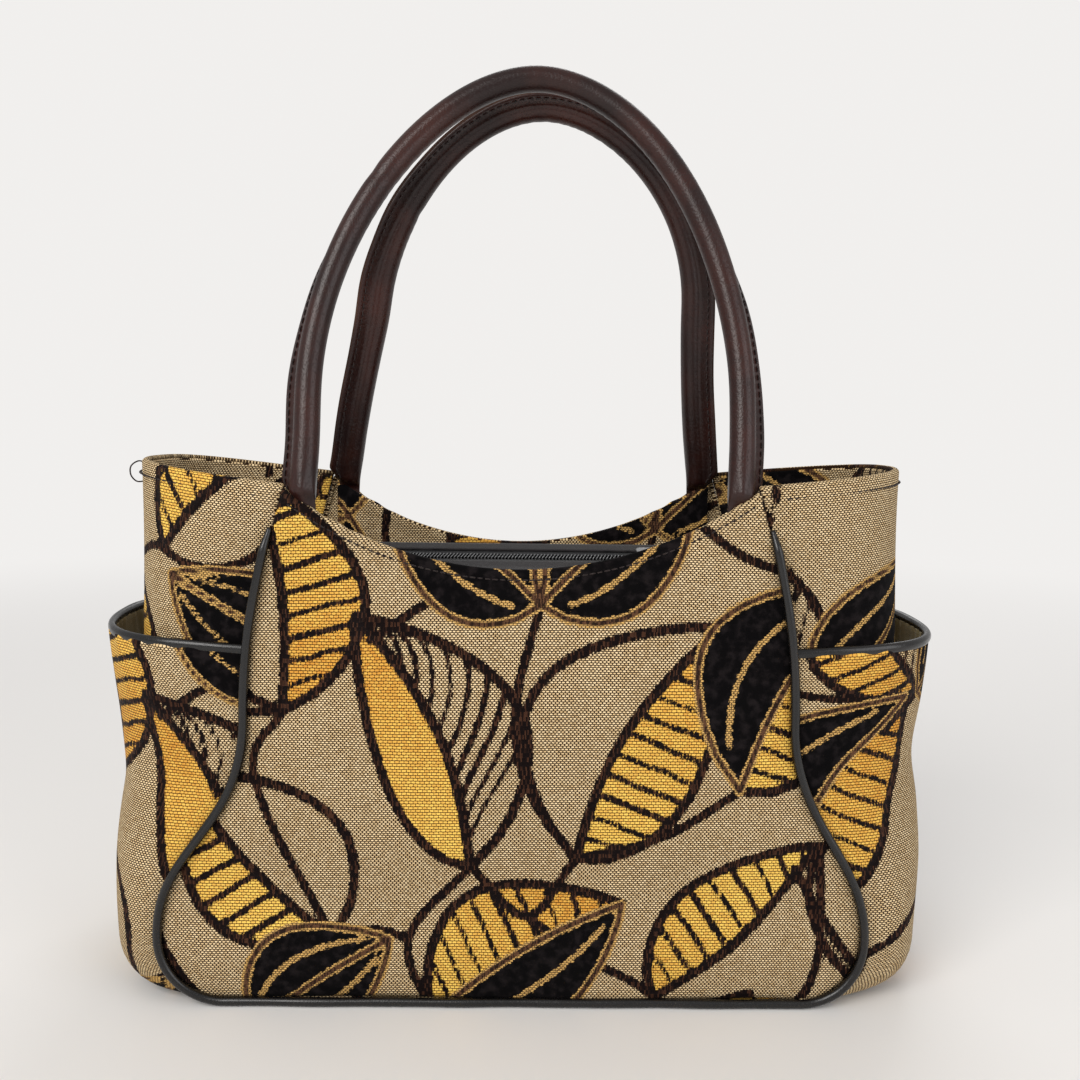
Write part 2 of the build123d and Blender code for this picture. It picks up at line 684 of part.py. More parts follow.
def end_stop_piece():
    """Moulded stop across both rows at the closed end."""
    return block(ZIP_LEFT - STOP_LENGTH - CLEARANCE, ZIP_LEFT - CLEARANCE, -COIL_HALF_WIDTH, COIL_HALF_WIDTH,
                 -STOP_THICKNESS / 2, STOP_THICKNESS / 2)


def top_stops_piece():
    """Two small stops, one on each row, at the end where the slider rests."""
    start = ZIP_RIGHT + COIL_TOOTH / 2 + CLEARANCE
    height = STOP_THICKNESS / 2
    near = block(start, start + STOP_LENGTH, -COIL_HALF_WIDTH, -STOP_GAP, -height, height)
    return [near, mirror(near, about=Plane.XZ)]


def right_gusset_stations():
    """Stations of the gusset's own wall."""
    return end_wall_stations(RIM_HEIGHT, GUSSET_RISE, gusset_reach, GUSSET_CORNER_RADIUS, GUSSET_LIFT)


def right_pocket_stations():
    """Stations of the pocket's wall."""
    return end_wall_stations(POCKET_SEAM_HEIGHT, POCKET_RISE, pocket_reach, POCKET_CORNER_RADIUS,
                             CLEARANCE)


def bottom_pieces():
    """Base cloth, the stiff board that lies on it and the lining over the board."""
    half = BASE_SEAM_X - SEAM_GAP
    board_half_depth = HALF_DEPTH - BOARD_MARGIN
    lining_low = BOARD_Z + BOARD + CLEARANCE
    return {
        "base_panel": base_piece(),
        "base_board": block(-half, half, -board_half_depth, board_half_depth, BOARD_Z, BOARD_Z + BOARD),
        "base_lining": block(-half, half, -board_half_depth, board_half_depth, lining_low,
                             lining_low + LINING),
    }


def zip_pieces():
    """Both rows, tapes and strips of the zip, its stops, and the slider with its pull."""
    coil = coil_piece()
    tape = tape_piece()
    slide = Pos(SLIDER_X, 0, 0)
    return {
        "front_zip_coil": zip_place(coil),
        "back_zip_coil": zip_place(mirror(coil, about=Plane.XZ)),
        "front_zip_tape": zip_place(tape),
        "back_zip_tape": zip_place(mirror(tape, about=Plane.XZ)),
        "front_zip_strip": strip_piece(-1),
        "back_zip_strip": strip_piece(1),
        "zip_end_stop": zip_place(end_stop_piece()),
        "zip_top_stops": Compound([zip_place(stop) for stop in top_stops_piece()]),
        "zip_slider": zip_place(slide * slider_shape()),
        "zip_pull": zip_place(slide * pull_shape()),
    }


def build():
    """Every piece of the bag, by name."""
    pieces = {}
    front = {
        "panel": panel_piece(0.0, TAPESTRY, SEAM_GAP, 0.0),
        "facing": front_facing_piece(),
        "lining": panel_piece(INNER_LAYER, LINING, LINING_INSET, FACING_DEPTH + SEAM_GAP),
        "piping": piping_piece(),
    }
    for name, shape in front.items():
        pieces["front_" + name] = shape
        pieces["back_" + name] = mirror(shape, about=Plane.XZ)
    pieces["front_handle"] = handle_cover(front_handle_path(HANDLE_SUNK_LENGTH))
    pieces["front_handle_core"] = handle_core(front_handle_path(HANDLE_SUNK_LENGTH))
    back_cover = handle_cover(back_handle_path(HANDLE_SUNK_LENGTH))
    back_core = handle_core(back_handle_path(HANDLE_SUNK_LENGTH))
    pieces["back_handle"] = mirror(back_cover, about=Plane.XZ)
    pieces["back_handle_core"] = mirror(back_core, about=Plane.XZ)

    gusset = right_gusset_stations()
    pocket = right_pocket_stations()
    facing_end = (SIDE_STATIONS - 1) * FACING_DEPTH / (RIM_HEIGHT - WAIST_HEIGHT)
    gusset_facing = stations_from(gusset, 0.0, facing_end)
    gusset_lining = stations_from(gusset, facing_end + SEAM_GAP / 2, len(gusset) - 1.0)
    right = {
        "gusset": end_wall_piece(gusset, GUSSET_HALF_DEPTH, 0.0, TAPESTRY),
        "facing": end_wall_piece(gusset_facing, GUSSET_HALF_DEPTH, INNER_LAYER, FACING),
        "lining": end_wall_piece(gusset_lining, GUSSET_HALF_DEPTH, INNER_LAYER + CLEARANCE, LINING),
        "pocket": end_wall_piece(pocket, HALF_DEPTH, 0.0, TAPESTRY),
        "pocket_lining": end_wall_piece(pocket, HALF_DEPTH, INNER_LAYER, LINING),
        "pocket_binding": binding_piece(pocket[0]),
    }
    for name, shape in right.items():
        pieces["right_" + name] = shape
        pieces["left_" + name] = mirror(shape, about=Plane.YZ)
    pieces.update(bottom_pieces())
    pieces.update(zip_pieces())
    return pieces


if __name__ == "__main__":
    os.makedirs("parts", exist_ok=True)
    for node, shape in build().items():
        export_step(shape, "parts/" + node + ".step")
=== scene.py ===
"""Dresses the woven shoulder bag in cloth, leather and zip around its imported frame, in metres."""
import logging
import math
from dataclasses import dataclass
from enum import Enum
from typing import Any, Sequence

import bmesh
import bpy
import numpy as np
from mathutils import Matrix, Vector


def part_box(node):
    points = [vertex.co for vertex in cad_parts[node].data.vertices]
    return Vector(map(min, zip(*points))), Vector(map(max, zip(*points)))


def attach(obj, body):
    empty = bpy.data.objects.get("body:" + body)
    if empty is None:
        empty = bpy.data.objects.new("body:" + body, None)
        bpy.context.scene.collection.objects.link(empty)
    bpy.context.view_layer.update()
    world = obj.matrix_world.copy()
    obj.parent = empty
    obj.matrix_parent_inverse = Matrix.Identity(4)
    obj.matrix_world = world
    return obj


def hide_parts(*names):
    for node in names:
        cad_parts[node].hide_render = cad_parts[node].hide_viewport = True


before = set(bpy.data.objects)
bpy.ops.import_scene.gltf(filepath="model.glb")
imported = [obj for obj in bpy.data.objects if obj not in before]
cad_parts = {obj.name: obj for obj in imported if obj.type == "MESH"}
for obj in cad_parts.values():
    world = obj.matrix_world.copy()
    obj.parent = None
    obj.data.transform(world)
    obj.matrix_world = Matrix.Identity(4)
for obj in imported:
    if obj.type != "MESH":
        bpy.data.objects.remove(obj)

log = logging.getLogger("bag")

BODY = "bag"
MM = 0.001

TINY = 1e-12
HALF_TURN = np.array([-1.0, -1.0, 1.0])
UPWARD = (0.0, 0.0, 1.0)
CUT_EDGE = {34, 35, 36, 37}  # points of the handle's outline on the flange's cut edge

Array = np.ndarray
Socket = bpy.types.NodeSocket
Thing = bpy.types.Object
Point = tuple[float, float]
Point3 = tuple[float, float, float]
Colour = tuple[float, float, float, float]
Fields = dict[str, Array]


def smooth(value: Array | float) -> Array:
    """Rise from 0 to 1 with level ends."""
    held = np.clip(value, 0.0, 1.0)
    return held * held * (3.0 - 2.0 * held)


def mix(low: Any, high: Any, share: Any) -> Any:
    """Value at a share of the way from low to high."""
    return low + (high - low) * share


def hump(value: Array | float, middle: float, spread: float) -> Array:
    """Bell of height 1 about a middle."""
    return np.exp(-(((value - middle) / spread) ** 2))


# Drawing of the cloth


class HalfFill(Enum):
    """What fills the half of a leaf on one side of its midrib."""

    OPEN = "ground inside an outline"
    HATCHED = "ground with dark slanting stripes"
    GOLD = "plain gold"
    GOLD_STRIPED = "gold with dark stripes"
    VELVET = "black pile with beaded edges"


class Thread(Enum):
    """Thread that a drawn line is woven in, named as its field."""

    INK = "ink"
    BEAD = "bead"


@dataclass(frozen=True)
class Stroke:
    """A line drawn on the cloth.

    Args:
        points: Places along the line, as rows of u and v in metres.
        half_width: Half of the line's width in metres.
        thread: What it is woven in.
    """

    points: Array
    half_width: float
    thread: Thread


@dataclass(frozen=True)
class LeafHalf:
    """One side of a leaf.

    Args:
        fill: What fills it.
        width: Its greatest width as a share of the leaf's length.
    """

    fill: HalfFill
    width: float


@dataclass(frozen=True)
class Leaf:
    """A pointed leaf with a bowed midrib.

    Args:
        foot: Where the stem meets the blade, in metres.
        tip: The blade's point, in metres.
        left: The half to the left of the way from foot to tip.
        right: The other half.
        bow: How far the midrib bows to the left, as a share of the length.
        warmth: Tone of the gold at the foot and at the tip, from lemon at 0 to orange at 1.
    """

    foot: Point
    tip: Point
    left: LeafHalf
    right: LeafHalf
    bow: float = 0.06
    warmth: Point = (0.2, 0.8)
    outline_half_width: float = 0.0021
    stripe_half_width: float = 0.00118
    bead_half_width: float = 0.0020
    stripe_pitch: float = 0.0095
    stripe_slant: float = 0.05
    hatch_slant: float = 0.30
    stripe_waver: float = 0.005

    @property
    def length(self) -> float:
        """Distance from foot to tip."""
        return math.dist(self.foot, self.tip)

    def axes(self) -> tuple[Array, Array]:
        """Unit vectors along the leaf and to its left."""
        along = (np.array(self.tip) - np.array(self.foot)) / self.length
        return along, np.array([-along[1], along[0]])

    def midrib(self, share: Array) -> Array:
        """Bow of the midrib at a share of the length."""
        return self.bow * self.length * np.sin(math.pi * np.clip(share, 0.0, 1.0))

    def reach(self, half: LeafHalf, share: Array) -> Array:
        """Width of one half at a share of the length, fullest below the middle."""
        return half.width * self.length * np.sin(math.pi * np.clip(share, 0.0, 1.0) ** 0.82) ** 0.85

    def local(self, places: Array) -> tuple[Array, Array]:
        """Share of the way to the tip, and distance to the left of the midrib, of each place."""
        along, leftward = self.axes()
        offset = places - np.array(self.foot)
        share = offset @ along / self.length
        return share, offset @ leftward - self.midrib(share)

    def place(self, share: Array, left: Array) -> Array:
        """Place on the cloth of local coordinates, the inverse of local."""
        along, leftward = self.axes()
        across = left + self.midrib(share)
        return np.array(self.foot) + np.outer(share * self.length, along) + np.outer(across, leftward)

    def halves(self) -> list[tuple[int, LeafHalf]]:
        """Each half with its side, 1 for left and -1 for right."""
        return [(1, self.left), (-1, self.right)]

    def box(self) -> Array:
        """Points on both outlines."""
        share = np.linspace(0.0, 1.0, 9)
        return np.vstack([self.place(share, side * self.reach(half, share)) for side, half in self.halves()])

    def strokes(self, rng: np.random.Generator) -> list[Stroke]:
        """Outlines, midrib, stripes and veins of the leaf.

        Args:
            rng: Source of the stripes' unevenness.

        Returns:
            Every line of the leaf.
        """
        share = np.linspace(0.0, 1.0, 17)
        found = [self.line(share, 0.0 * share, HalfFill.VELVET in (self.left.fill, self.right.fill))]
        for side, half in self.halves():
            edge = side * self.reach(half, share)
            beaded = half.fill is HalfFill.VELVET
            found.append(self.line(share, edge, beaded))
            if beaded:
                found.append(self.line(share[2:-2], edge[2:-2] * 0.5, beaded, 0.6))
            if half.fill in (HalfFill.HATCHED, HalfFill.GOLD_STRIPED):
                found += self.stripes(side, half, rng)
        return found

    def line(self, share: Array, left: Array, beaded: bool, fineness: float = 1.0) -> Stroke:
        """One line of the leaf, in beads or in ink."""
        width, thread = (self.bead_half_width, Thread.BEAD) if beaded else (self.outline_half_width, Thread.INK)
        return Stroke(self.place(share, left), width * fineness, thread)

    def stripes(self, side: int, half: LeafHalf, rng: np.random.Generator) -> list[Stroke]:
        """Dark wavering stripes from the midrib to the outline.

        Args:
            side: 1 for the left half and -1 for the right one.
            half: The half that is striped.
            rng: Source of their unevenness.

        Returns:
            The stripes.
        """
        slant = self.hatch_slant if half.fill is HalfFill.HATCHED else self.stripe_slant
        count = int(self.length / self.stripe_pitch)
        across = np.linspace(0.0, 1.0, 6)
        found = []
        for index in range(1, count):
            waver = rng.uniform(-self.stripe_waver, self.stripe_waver, across.size)
            share = index / count + slant * across + waver
            width = self.stripe_half_width * rng.uniform(0.75, 1.25)
            share = share[share < 0.96]
            if share.size > 2:
                left = side * self.reach(half, share) * across[: share.size]
                found.append(Stroke(self.place(share, left), width, Thread.INK))
        return found


def smooth_path(knots: Sequence[Sequence[float]], count: int = 16) -> Array:
    """Smooth curve through knots.

    Args:
        knots: Places to pass through.
        count: Number of points wanted.

    Returns:
        Points along the curve.
    """
    inner = np.array(knots, float)
    padded = np.vstack([2 * inner[0] - inner[1], inner, 2 * inner[-1] - inner[-2]])
    place = np.linspace(0.0, len(inner) - 1.0, count)
    low = np.minimum(place.astype(int), len(inner) - 2)
    t = (place - low)[:, None]
    a, b, c, d = (padded[low + step] for step in range(4))
    return 0.5 * (2 * b + (c - a) * t + (2 * a - 5 * b + 4 * c - d) * t**2 + (3 * b - a - 3 * c + d) * t**3)


def distance_to_line(places: Array, line: Array) -> Array:
    """Distance of each place to a line of straight runs."""
    best = np.full(len(places), np.inf)
    for start, stop in zip(line[:-1], line[1:]):
        run = stop - start
        offset = places - start
        share = np.clip(offset @ run / max(float(run @ run), 1e-12), 0.0, 1.0)
        offset -= share[:, None] * run
        best = np.minimum(best, offset[:, 0] ** 2 + offset[:, 1] ** 2)
    return np.sqrt(best)


@dataclass(frozen=True)
class ClothDesign:
    """Leaves and stems of the cloth, in a repeat.

    Args:
        repeat: Width and height of the repeat in metres.
        margin: How far round a drawn thing its distance is worked out.
        stem_half_width: Half of a stem's width.
        seed: Seed of the hand-drawn unevenness.
    """

    repeat: Point = (0.360, 0.300)
    margin: float = 0.006
    stem_half_width: float = 0.0019
    seed: int = 11

    def leaves(self) -> list[Leaf]:
        """Every leaf of one repeat, with its places in millimetres from the repeat's middle foot."""
        gold, striped, hatched = HalfFill.GOLD, HalfFill.GOLD_STRIPED, HalfFill.HATCHED
        plain, velvet = HalfFill.OPEN, HalfFill.VELVET
        rows = [
            ((-20, 62), (-68, 168), (gold, 0.24), (hatched, 0.30), -0.10, (0.1, 0.85)),
            ((24, 66), (84, 164), (plain, 0.36), (striped, 0.32), 0.10, (0.1, 0.75)),
            ((-78, 30), (-140, 100), (striped, 0.30), (plain, 0.44), 0.05, (0.0, 0.5)),
            ((-98, 128), (-108, 226), (plain, 0.34), (striped, 0.34), -0.05, (0.9, 0.1)),
            ((8, 172), (72, 222), (velvet, 0.32), (velvet, 0.38), 0.05, (0.0, 0.0)),
            ((8, 172), (-56, 216), (velvet, 0.38), (velvet, 0.32), -0.06, (0.0, 0.0)),
            ((92, 96), (150, 186), (velvet, 0.36), (striped, 0.32), 0.08, (0.2, 0.9)),
            ((58, 4), (128, 72), (striped, 0.32), (plain, 0.42), -0.06, (0.5, 0.0)),
            ((-36, -6), (44, 46), (striped, 0.34), (velvet, 0.36), 0.06, (0.1, 0.9)),
            ((-112, -12), (-54, 30), (velvet, 0.38), (velvet, 0.34), 0.04, (0.0, 0.0)),
            ((150, 10), (190, 100), (plain, 0.38), (striped, 0.34), 0.06, (0.3, 1.0)),
            ((160, 186), (110, 270), (striped, 0.32), (hatched, 0.30), 0.08, (0.8, 0.2)),
            ((160, 186), (228, 240), (velvet, 0.34), (velvet, 0.38), -0.04, (0.0, 0.0)),
            ((-60, 226), (0, 282), (striped, 0.32), (plain, 0.38), 0.06, (0.2, 0.7)),
            ((60, 232), (100, 306), (plain, 0.36), (gold, 0.28), -0.05, (0.1, 0.8)),
            ((-152, 112), (-160, 192), (striped, 0.34), (velvet, 0.30), 0.05, (0.1, 0.6)),
        ]
        return [
            Leaf((foot[0] * MM, foot[1] * MM), (tip[0] * MM, tip[1] * MM),
                 LeafHalf(*left), LeafHalf(*right), bow, warmth)
            for foot, tip, left, right, bow, warmth in rows
        ]

    def stems(self) -> list[Stroke]:
        """Curving stems that join the leaves of one repeat, through places in millimetres."""
        routes = [
            [(-36, -6), (-46, 30), (-20, 62)],
            [(-46, 30), (-60, 34), (-78, 30)],
            [(-20, 62), (4, 40), (24, 66)],
            [(4, 40), (30, 22), (58, 4), (70, -30)],
            [(-78, 30), (-110, 100), (-98, 128)],
            [(24, 66), (60, 76), (92, 96)],
            [(-62, 158), (-30, 176), (8, 172)],
            [(8, 172), (-2, 130), (4, 96), (24, 66)],
            [(62, 214), (100, 190), (160, 186)],
            [(118, 62), (140, 30), (150, 10), (140, -40)],
            [(-104, 212), (-80, 222), (-60, 226), (-30, 210)],
            [(-112, -12), (-140, 10), (-160, 60), (-150, 120), (-98, 128)],
            [(60, 232), (40, 250), (20, 290)],
            [(140, 172), (150, 180), (160, 186)],
        ]
        return [Stroke(smooth_path(route) * MM, self.stem_half_width, Thread.INK) for route in routes]

    def near(self, places: Array, line: Array) -> Array:
        """Which places lie in the box round a line, with the margin."""
        low, high = line.min(0) - self.margin, line.max(0) + self.margin
        return np.nonzero(np.all((places > low) & (places < high), axis=1))[0]

    def fields(self, places: Array) -> Fields:
        """Distances of places on the cloth to what is drawn there.

        Args:
            places: Rows of u and v in metres.

        Returns:
            For each field a value for each place: distances in metres, negative inside, and the warmth.
        """
        rng = np.random.default_rng(self.seed)
        leaves = self.leaves()
        strokes = self.stems() + [stroke for leaf in leaves for stroke in leaf.strokes(rng)]
        found = {name: np.full(len(places), self.margin) for name in ("ink", "bead", "gold", "velvet")}
        found["warmth"] = np.full(len(places), 0.4)
        span = np.array(self.repeat)
        first = np.floor(places.min(0) / span).astype(int) - 1
        last = np.ceil(places.max(0) / span).astype(int) + 1
        for column in range(first[0], last[0] + 1):
            for row in range(first[1], last[1] + 1):
                self.draw(places - np.array([column, row]) * span, leaves, strokes, found)
        return found

    def draw(self, places: Array, leaves: list[Leaf], strokes: list[Stroke], found: Fields) -> None:
        """Lower the fields by what one copy of the repeat draws.

        Args:
            places: Places as seen from this copy.
            leaves: The repeat's leaves.
            strokes: The repeat's lines.
            found: Fields to change.
        """
        for stroke in strokes:
            at = self.near(places, stroke.points)
            if at.size:
                gap = distance_to_line(places[at], stroke.points) - stroke.half_width
                values = found[stroke.thread.value]
                values[at] = np.minimum(values[at], gap)
        for leaf in leaves:
            at = self.near(places, leaf.box())
            if at.size:
                self.fill(leaf, places[at], at, found)

    def fill(self, leaf: Leaf, places: Array, at: Array, found: Fields) -> None:
        """Lower the fields by what fills one leaf.

        Args:
            leaf: The leaf.
            places: Places near it.
            at: Where those places are in the fields.
            found: Fields to change.
        """
        share, left = leaf.local(places)
        ends = np.maximum(-share, share - 1.0) * leaf.length
        for side, half in leaf.halves():
            gap = np.maximum.reduce([-left * side, left * side - leaf.reach(half, share), ends])
            if half.fill is HalfFill.VELVET:
                found["velvet"][at] = np.minimum(found["velvet"][at], gap)
            elif half.fill in (HalfFill.GOLD, HalfFill.GOLD_STRIPED):
                found["gold"][at] = np.minimum(found["gold"][at], gap)
                inside = gap < self.margin / 2
                tone = mix(leaf.warmth[0], leaf.warmth[1], np.clip(share, 0.0, 1.0))
                found["warmth"][at[inside]] = tone[inside]


# Node trees


class Graph:
    """Short way to place and wire the nodes of one tree."""

    def __init__(self, tree: bpy.types.NodeTree) -> None:
        """Hold the tree."""
        self.tree = tree

    def add(self, kind: str, values: dict | None = None, **settings: Any) -> bpy.types.Node:
        """Place a node.

        Args:
            kind: Blender's name of the node.
            values: What each input holds or is wired to, by its name or number.
            **settings: Properties of the node.

        Returns:
            The node.
        """
        node = self.tree.nodes.new(kind)
        for key, value in settings.items():
            setattr(node, key, value)
        self.wire(node, values or {})
        return node

    def wire(self, node: bpy.types.Node, values: dict) -> None:
        """Set inputs of a node to values, or wire sockets to them."""
        for key, value in values.items():
            if isinstance(value, Socket):
                self.tree.links.new(value, node.inputs[key])
            else:
                node.inputs[key].default_value = value

    def math(self, operation: str, *values: Any, clamp: bool = False) -> Socket:
        """Result of a Math node on numbers or sockets."""
        return self.add("ShaderNodeMath", dict(enumerate(values)), operation=operation, use_clamp=clamp).outputs[0]

    def times(self, *values: Any) -> Socket:
        """Product of two values."""
        return self.math("MULTIPLY", *values)

    def plus(self, *values: Any, clamp: bool = False) -> Socket:
        """Sum of two values."""
        return self.math("ADD", *values, clamp=clamp)

    def minus(self, *values: Any, clamp: bool = False) -> Socket:
        """Difference of two values."""
        return self.math("SUBTRACT", *values, clamp=clamp)

    def blend(self, share: Any, low: Any, high: Any) -> Socket:
        """Colour at a share of the way between two colours."""
        return self.add("ShaderNodeMix", {0: share, 6: low, 7: high}, data_type="RGBA").outputs[2]

    def number(self, share: Any, low: Any, high: Any) -> Socket:
        """Number at a share of the way between two numbers."""
        return self.add("ShaderNodeMix", {0: share, 2: low, 3: high}, data_type="FLOAT").outputs[0]

    def band(self, value: Any, start: Any, end: Any, low: float = 0.0, high: float = 1.0) -> Socket:
        """Value mapped smoothly from one range to another, and held at its ends."""
        values = {"Value": value, "From Min": start, "From Max": end, "To Min": low, "To Max": high}
        return self.add("ShaderNodeMapRange", values, interpolation_type="SMOOTHSTEP").outputs["Result"]

    def noise(self, place: Any, scale: float, detail: float = 3.0, roughness: float = 0.5) -> Socket:
        """Noise at a place."""
        values = {"Vector": place, "Scale": scale, "Detail": detail, "Roughness": roughness}
        return self.add("ShaderNodeTexNoise", values).outputs[0]


class Effect:
    """A shader node group that several materials share.

    Args:
        name: The group's name.
        inputs: Name, socket type and first value of each input.
        outputs: Name and socket type of each output.
    """

    def __init__(self, name: str, inputs: Sequence[tuple], outputs: Sequence[tuple[str, str]]) -> None:
        """Make the empty group with its sockets."""
        self.tree = bpy.data.node_groups.new(name, "ShaderNodeTree")
        for label, kind, value in inputs:
            socket = self.tree.interface.new_socket(name=label, in_out="INPUT", socket_type=kind)
            if value is not None:
                socket.default_value = value
        for label, kind in outputs:
            self.tree.interface.new_socket(name=label, in_out="OUTPUT", socket_type=kind)
        self.net = Graph(self.tree)
        self.start = self.net.add("NodeGroupInput").outputs
        self.end = self.net.add("NodeGroupOutput")

    def give(self, **results: Socket) -> None:
        """Wire results to the outputs of the same names."""
        for label, socket in results.items():
            self.tree.links.new(socket, self.end.inputs[label])

    def use(self, net: Graph, **values: Any) -> bpy.types.NodeOutputs:
        """Place the group in a material.

        Args:
            net: The material's net.
            **values: What each input holds, by its name.

        Returns:
            The group's outputs.
        """
        return net.add("ShaderNodeGroup", values, node_tree=self.tree).outputs


FLOAT, VECTOR = "NodeSocketFloat", "NodeSocketVector"


def thread_weave() -> Effect:
    """Group for rows of rounded thread floats, each shifted against the row below. Its Place is in millimetres."""
    effect = Effect(
        "thread_weave",
        [("Place", VECTOR, None), ("Across", FLOAT, 1.5), ("Along", FLOAT, 0.9), ("Stagger", FLOAT, 0.5),
         ("Waver", FLOAT, 0.2)],
        [("Height", FLOAT), ("Random", FLOAT), ("Rib", FLOAT)],
    )
    net, start = effect.net, effect.start
    place = start["Place"]
    waver = net.times(net.minus(net.noise(place, 0.35, 2.0), 0.5), start["Waver"])
    axes = net.add("ShaderNodeSeparateXYZ", {0: place}).outputs
    v = net.plus(net.math("DIVIDE", axes[1], start["Along"]), waver)
    row = net.math("FLOOR", v)
    shift = net.times(row, start["Stagger"])
    u = net.plus(net.plus(net.math("DIVIDE", axes[0], start["Across"]), shift), waver)
    column = net.math("FLOOR", u)
    across = net.math("SINE", net.times(net.math("FRACT", u), math.pi))
    rib = net.math("SINE", net.times(net.math("FRACT", v), math.pi))
    cell = net.add("ShaderNodeCombineXYZ", {0: column, 1: row}).outputs[0]
    random = net.add("ShaderNodeTexWhiteNoise", {"Vector": cell}, noise_dimensions="3D").outputs["Value"]
    height = net.times(net.math("POWER", across, 0.6), net.math("POWER", rib, 0.7))
    effect.give(Height=height, Random=random, Rib=rib)
    return effect


def hide_grain() -> Effect:
    """Group for pebbles, fine pores and soft creases of leather. Its Place is in metres."""
    effect = Effect(
        "hide_grain",
        [("Place", VECTOR, None), ("Pebble", FLOAT, 900.0), ("Crease", FLOAT, 60.0)],
        [("Height", FLOAT), ("Mottle", FLOAT), ("Valley", FLOAT)],
    )
    net, start = effect.net, effect.start
    place = start["Place"]
    cells = net.add("ShaderNodeTexVoronoi", {"Vector": place, "Scale": start["Pebble"]},
                      feature="SMOOTH_F1").outputs["Distance"]
    valley = net.band(cells, 0.35, 0.75)
    fine = net.noise(place, 2600.0, 2.0)
    crease = net.add("ShaderNodeTexNoise", {"Vector": place, "Scale": start["Crease"], "Detail": 5.0,
                                             "Roughness": 0.62, "Distortion": 1.4}).outputs[0]
    mottle = net.noise(place, 38.0, 4.0)
    height = net.minus(net.times(crease, 1.6), net.times(valley, 0.35))
    height = net.plus(height, net.times(fine, 0.12))
    effect.give(Height=height, Mottle=mottle, Valley=valley)
    return effect


def handling_wear() -> Effect:
    """Group for uneven patches of rubbing and dust. Its Place is in metres."""
    effect = Effect("handling_wear", [("Place", VECTOR, None), ("Amount", FLOAT, 0.5)],
                    [("Rubbed", FLOAT), ("Dust", FLOAT)])
    net, start = effect.net, effect.start
    place = start["Place"]
    broad = net.noise(place, 22.0, 5.0, 0.6)
    specks = net.noise(place, 700.0, 2.0, 0.7)
    rubbed = net.times(net.band(broad, 0.42, 0.72), start["Amount"])
    dust = net.times(net.times(net.band(specks, 0.62, 0.80), rubbed), 0.8)
    effect.give(Rubbed=rubbed, Dust=dust)
    return effect


@dataclass(frozen=True)
class Effects:
    """The shared node groups, each built once."""

    weave: Effect
    grain: Effect
    wear: Effect

    @classmethod
    def build(cls) -> "Effects":
        """Build every group."""
        return cls(thread_weave(), hide_grain(), handling_wear())


# Finishes


def colour(red: float, green: float, blue: float) -> Colour:
    """Opaque linear colour."""
    return (red, green, blue, 1.0)


@dataclass(frozen=True)
class Finish:
    """A surface finish that becomes one material.

    Args:
        slot: The record's material slot.
        roughness: Roughness of the plain surface.
        specular: Strength of the plain reflection.
        sheen: Weight of the cloth's sheen.
    """

    slot: str
    roughness: float = 0.8
    specular: float = 0.3
    sheen: float = 0.0

    def paint(self, net: Graph, effects: Effects, place: Socket) -> dict[str, Any]:
        """Colour, roughness and height of the surface.

        Args:
            net: The material's net.
            effects: The shared groups.
            place: Object coordinates.

        Returns:
            Sockets by the names colour, roughness and height, the height in millimetres.
        """
        raise NotImplementedError

    def material(self, effects: Effects) -> bpy.types.Material:
        """Build the material.

        Args:
            effects: The shared groups.

        Returns:
            The material, named as its slot.
        """
        made = bpy.data.materials.new(self.slot)
        made.use_nodes = True
        net = Graph(made.node_tree)
        shader = made.node_tree.nodes["Principled BSDF"]
        place = net.add("ShaderNodeTexCoord").outputs["Object"]
        paint = self.paint(net, effects, place)
        bump = net.add("ShaderNodeBump", {"Height": paint["height"], "Distance": MM, "Strength": 1.0})
        net.wire(shader, {
            "Base Color": paint["colour"], "Roughness": paint["roughness"], "Normal": bump.outputs["Normal"],
            "Specular IOR Level": self.specular, "Sheen Weight": self.sheen, "Sheen Roughness": 0.4,
        })
        return made


def cloth_place(net: Graph) -> Socket:
    """Place on the cloth in millimetres, from the piece's own map."""
    uv = net.add("ShaderNodeUVMap", uv_map="cloth").outputs[0]
    return net.add("ShaderNodeVectorMath", {0: uv, 1: (1.0 / MM,) * 3}, operation="MULTIPLY").outputs[0]


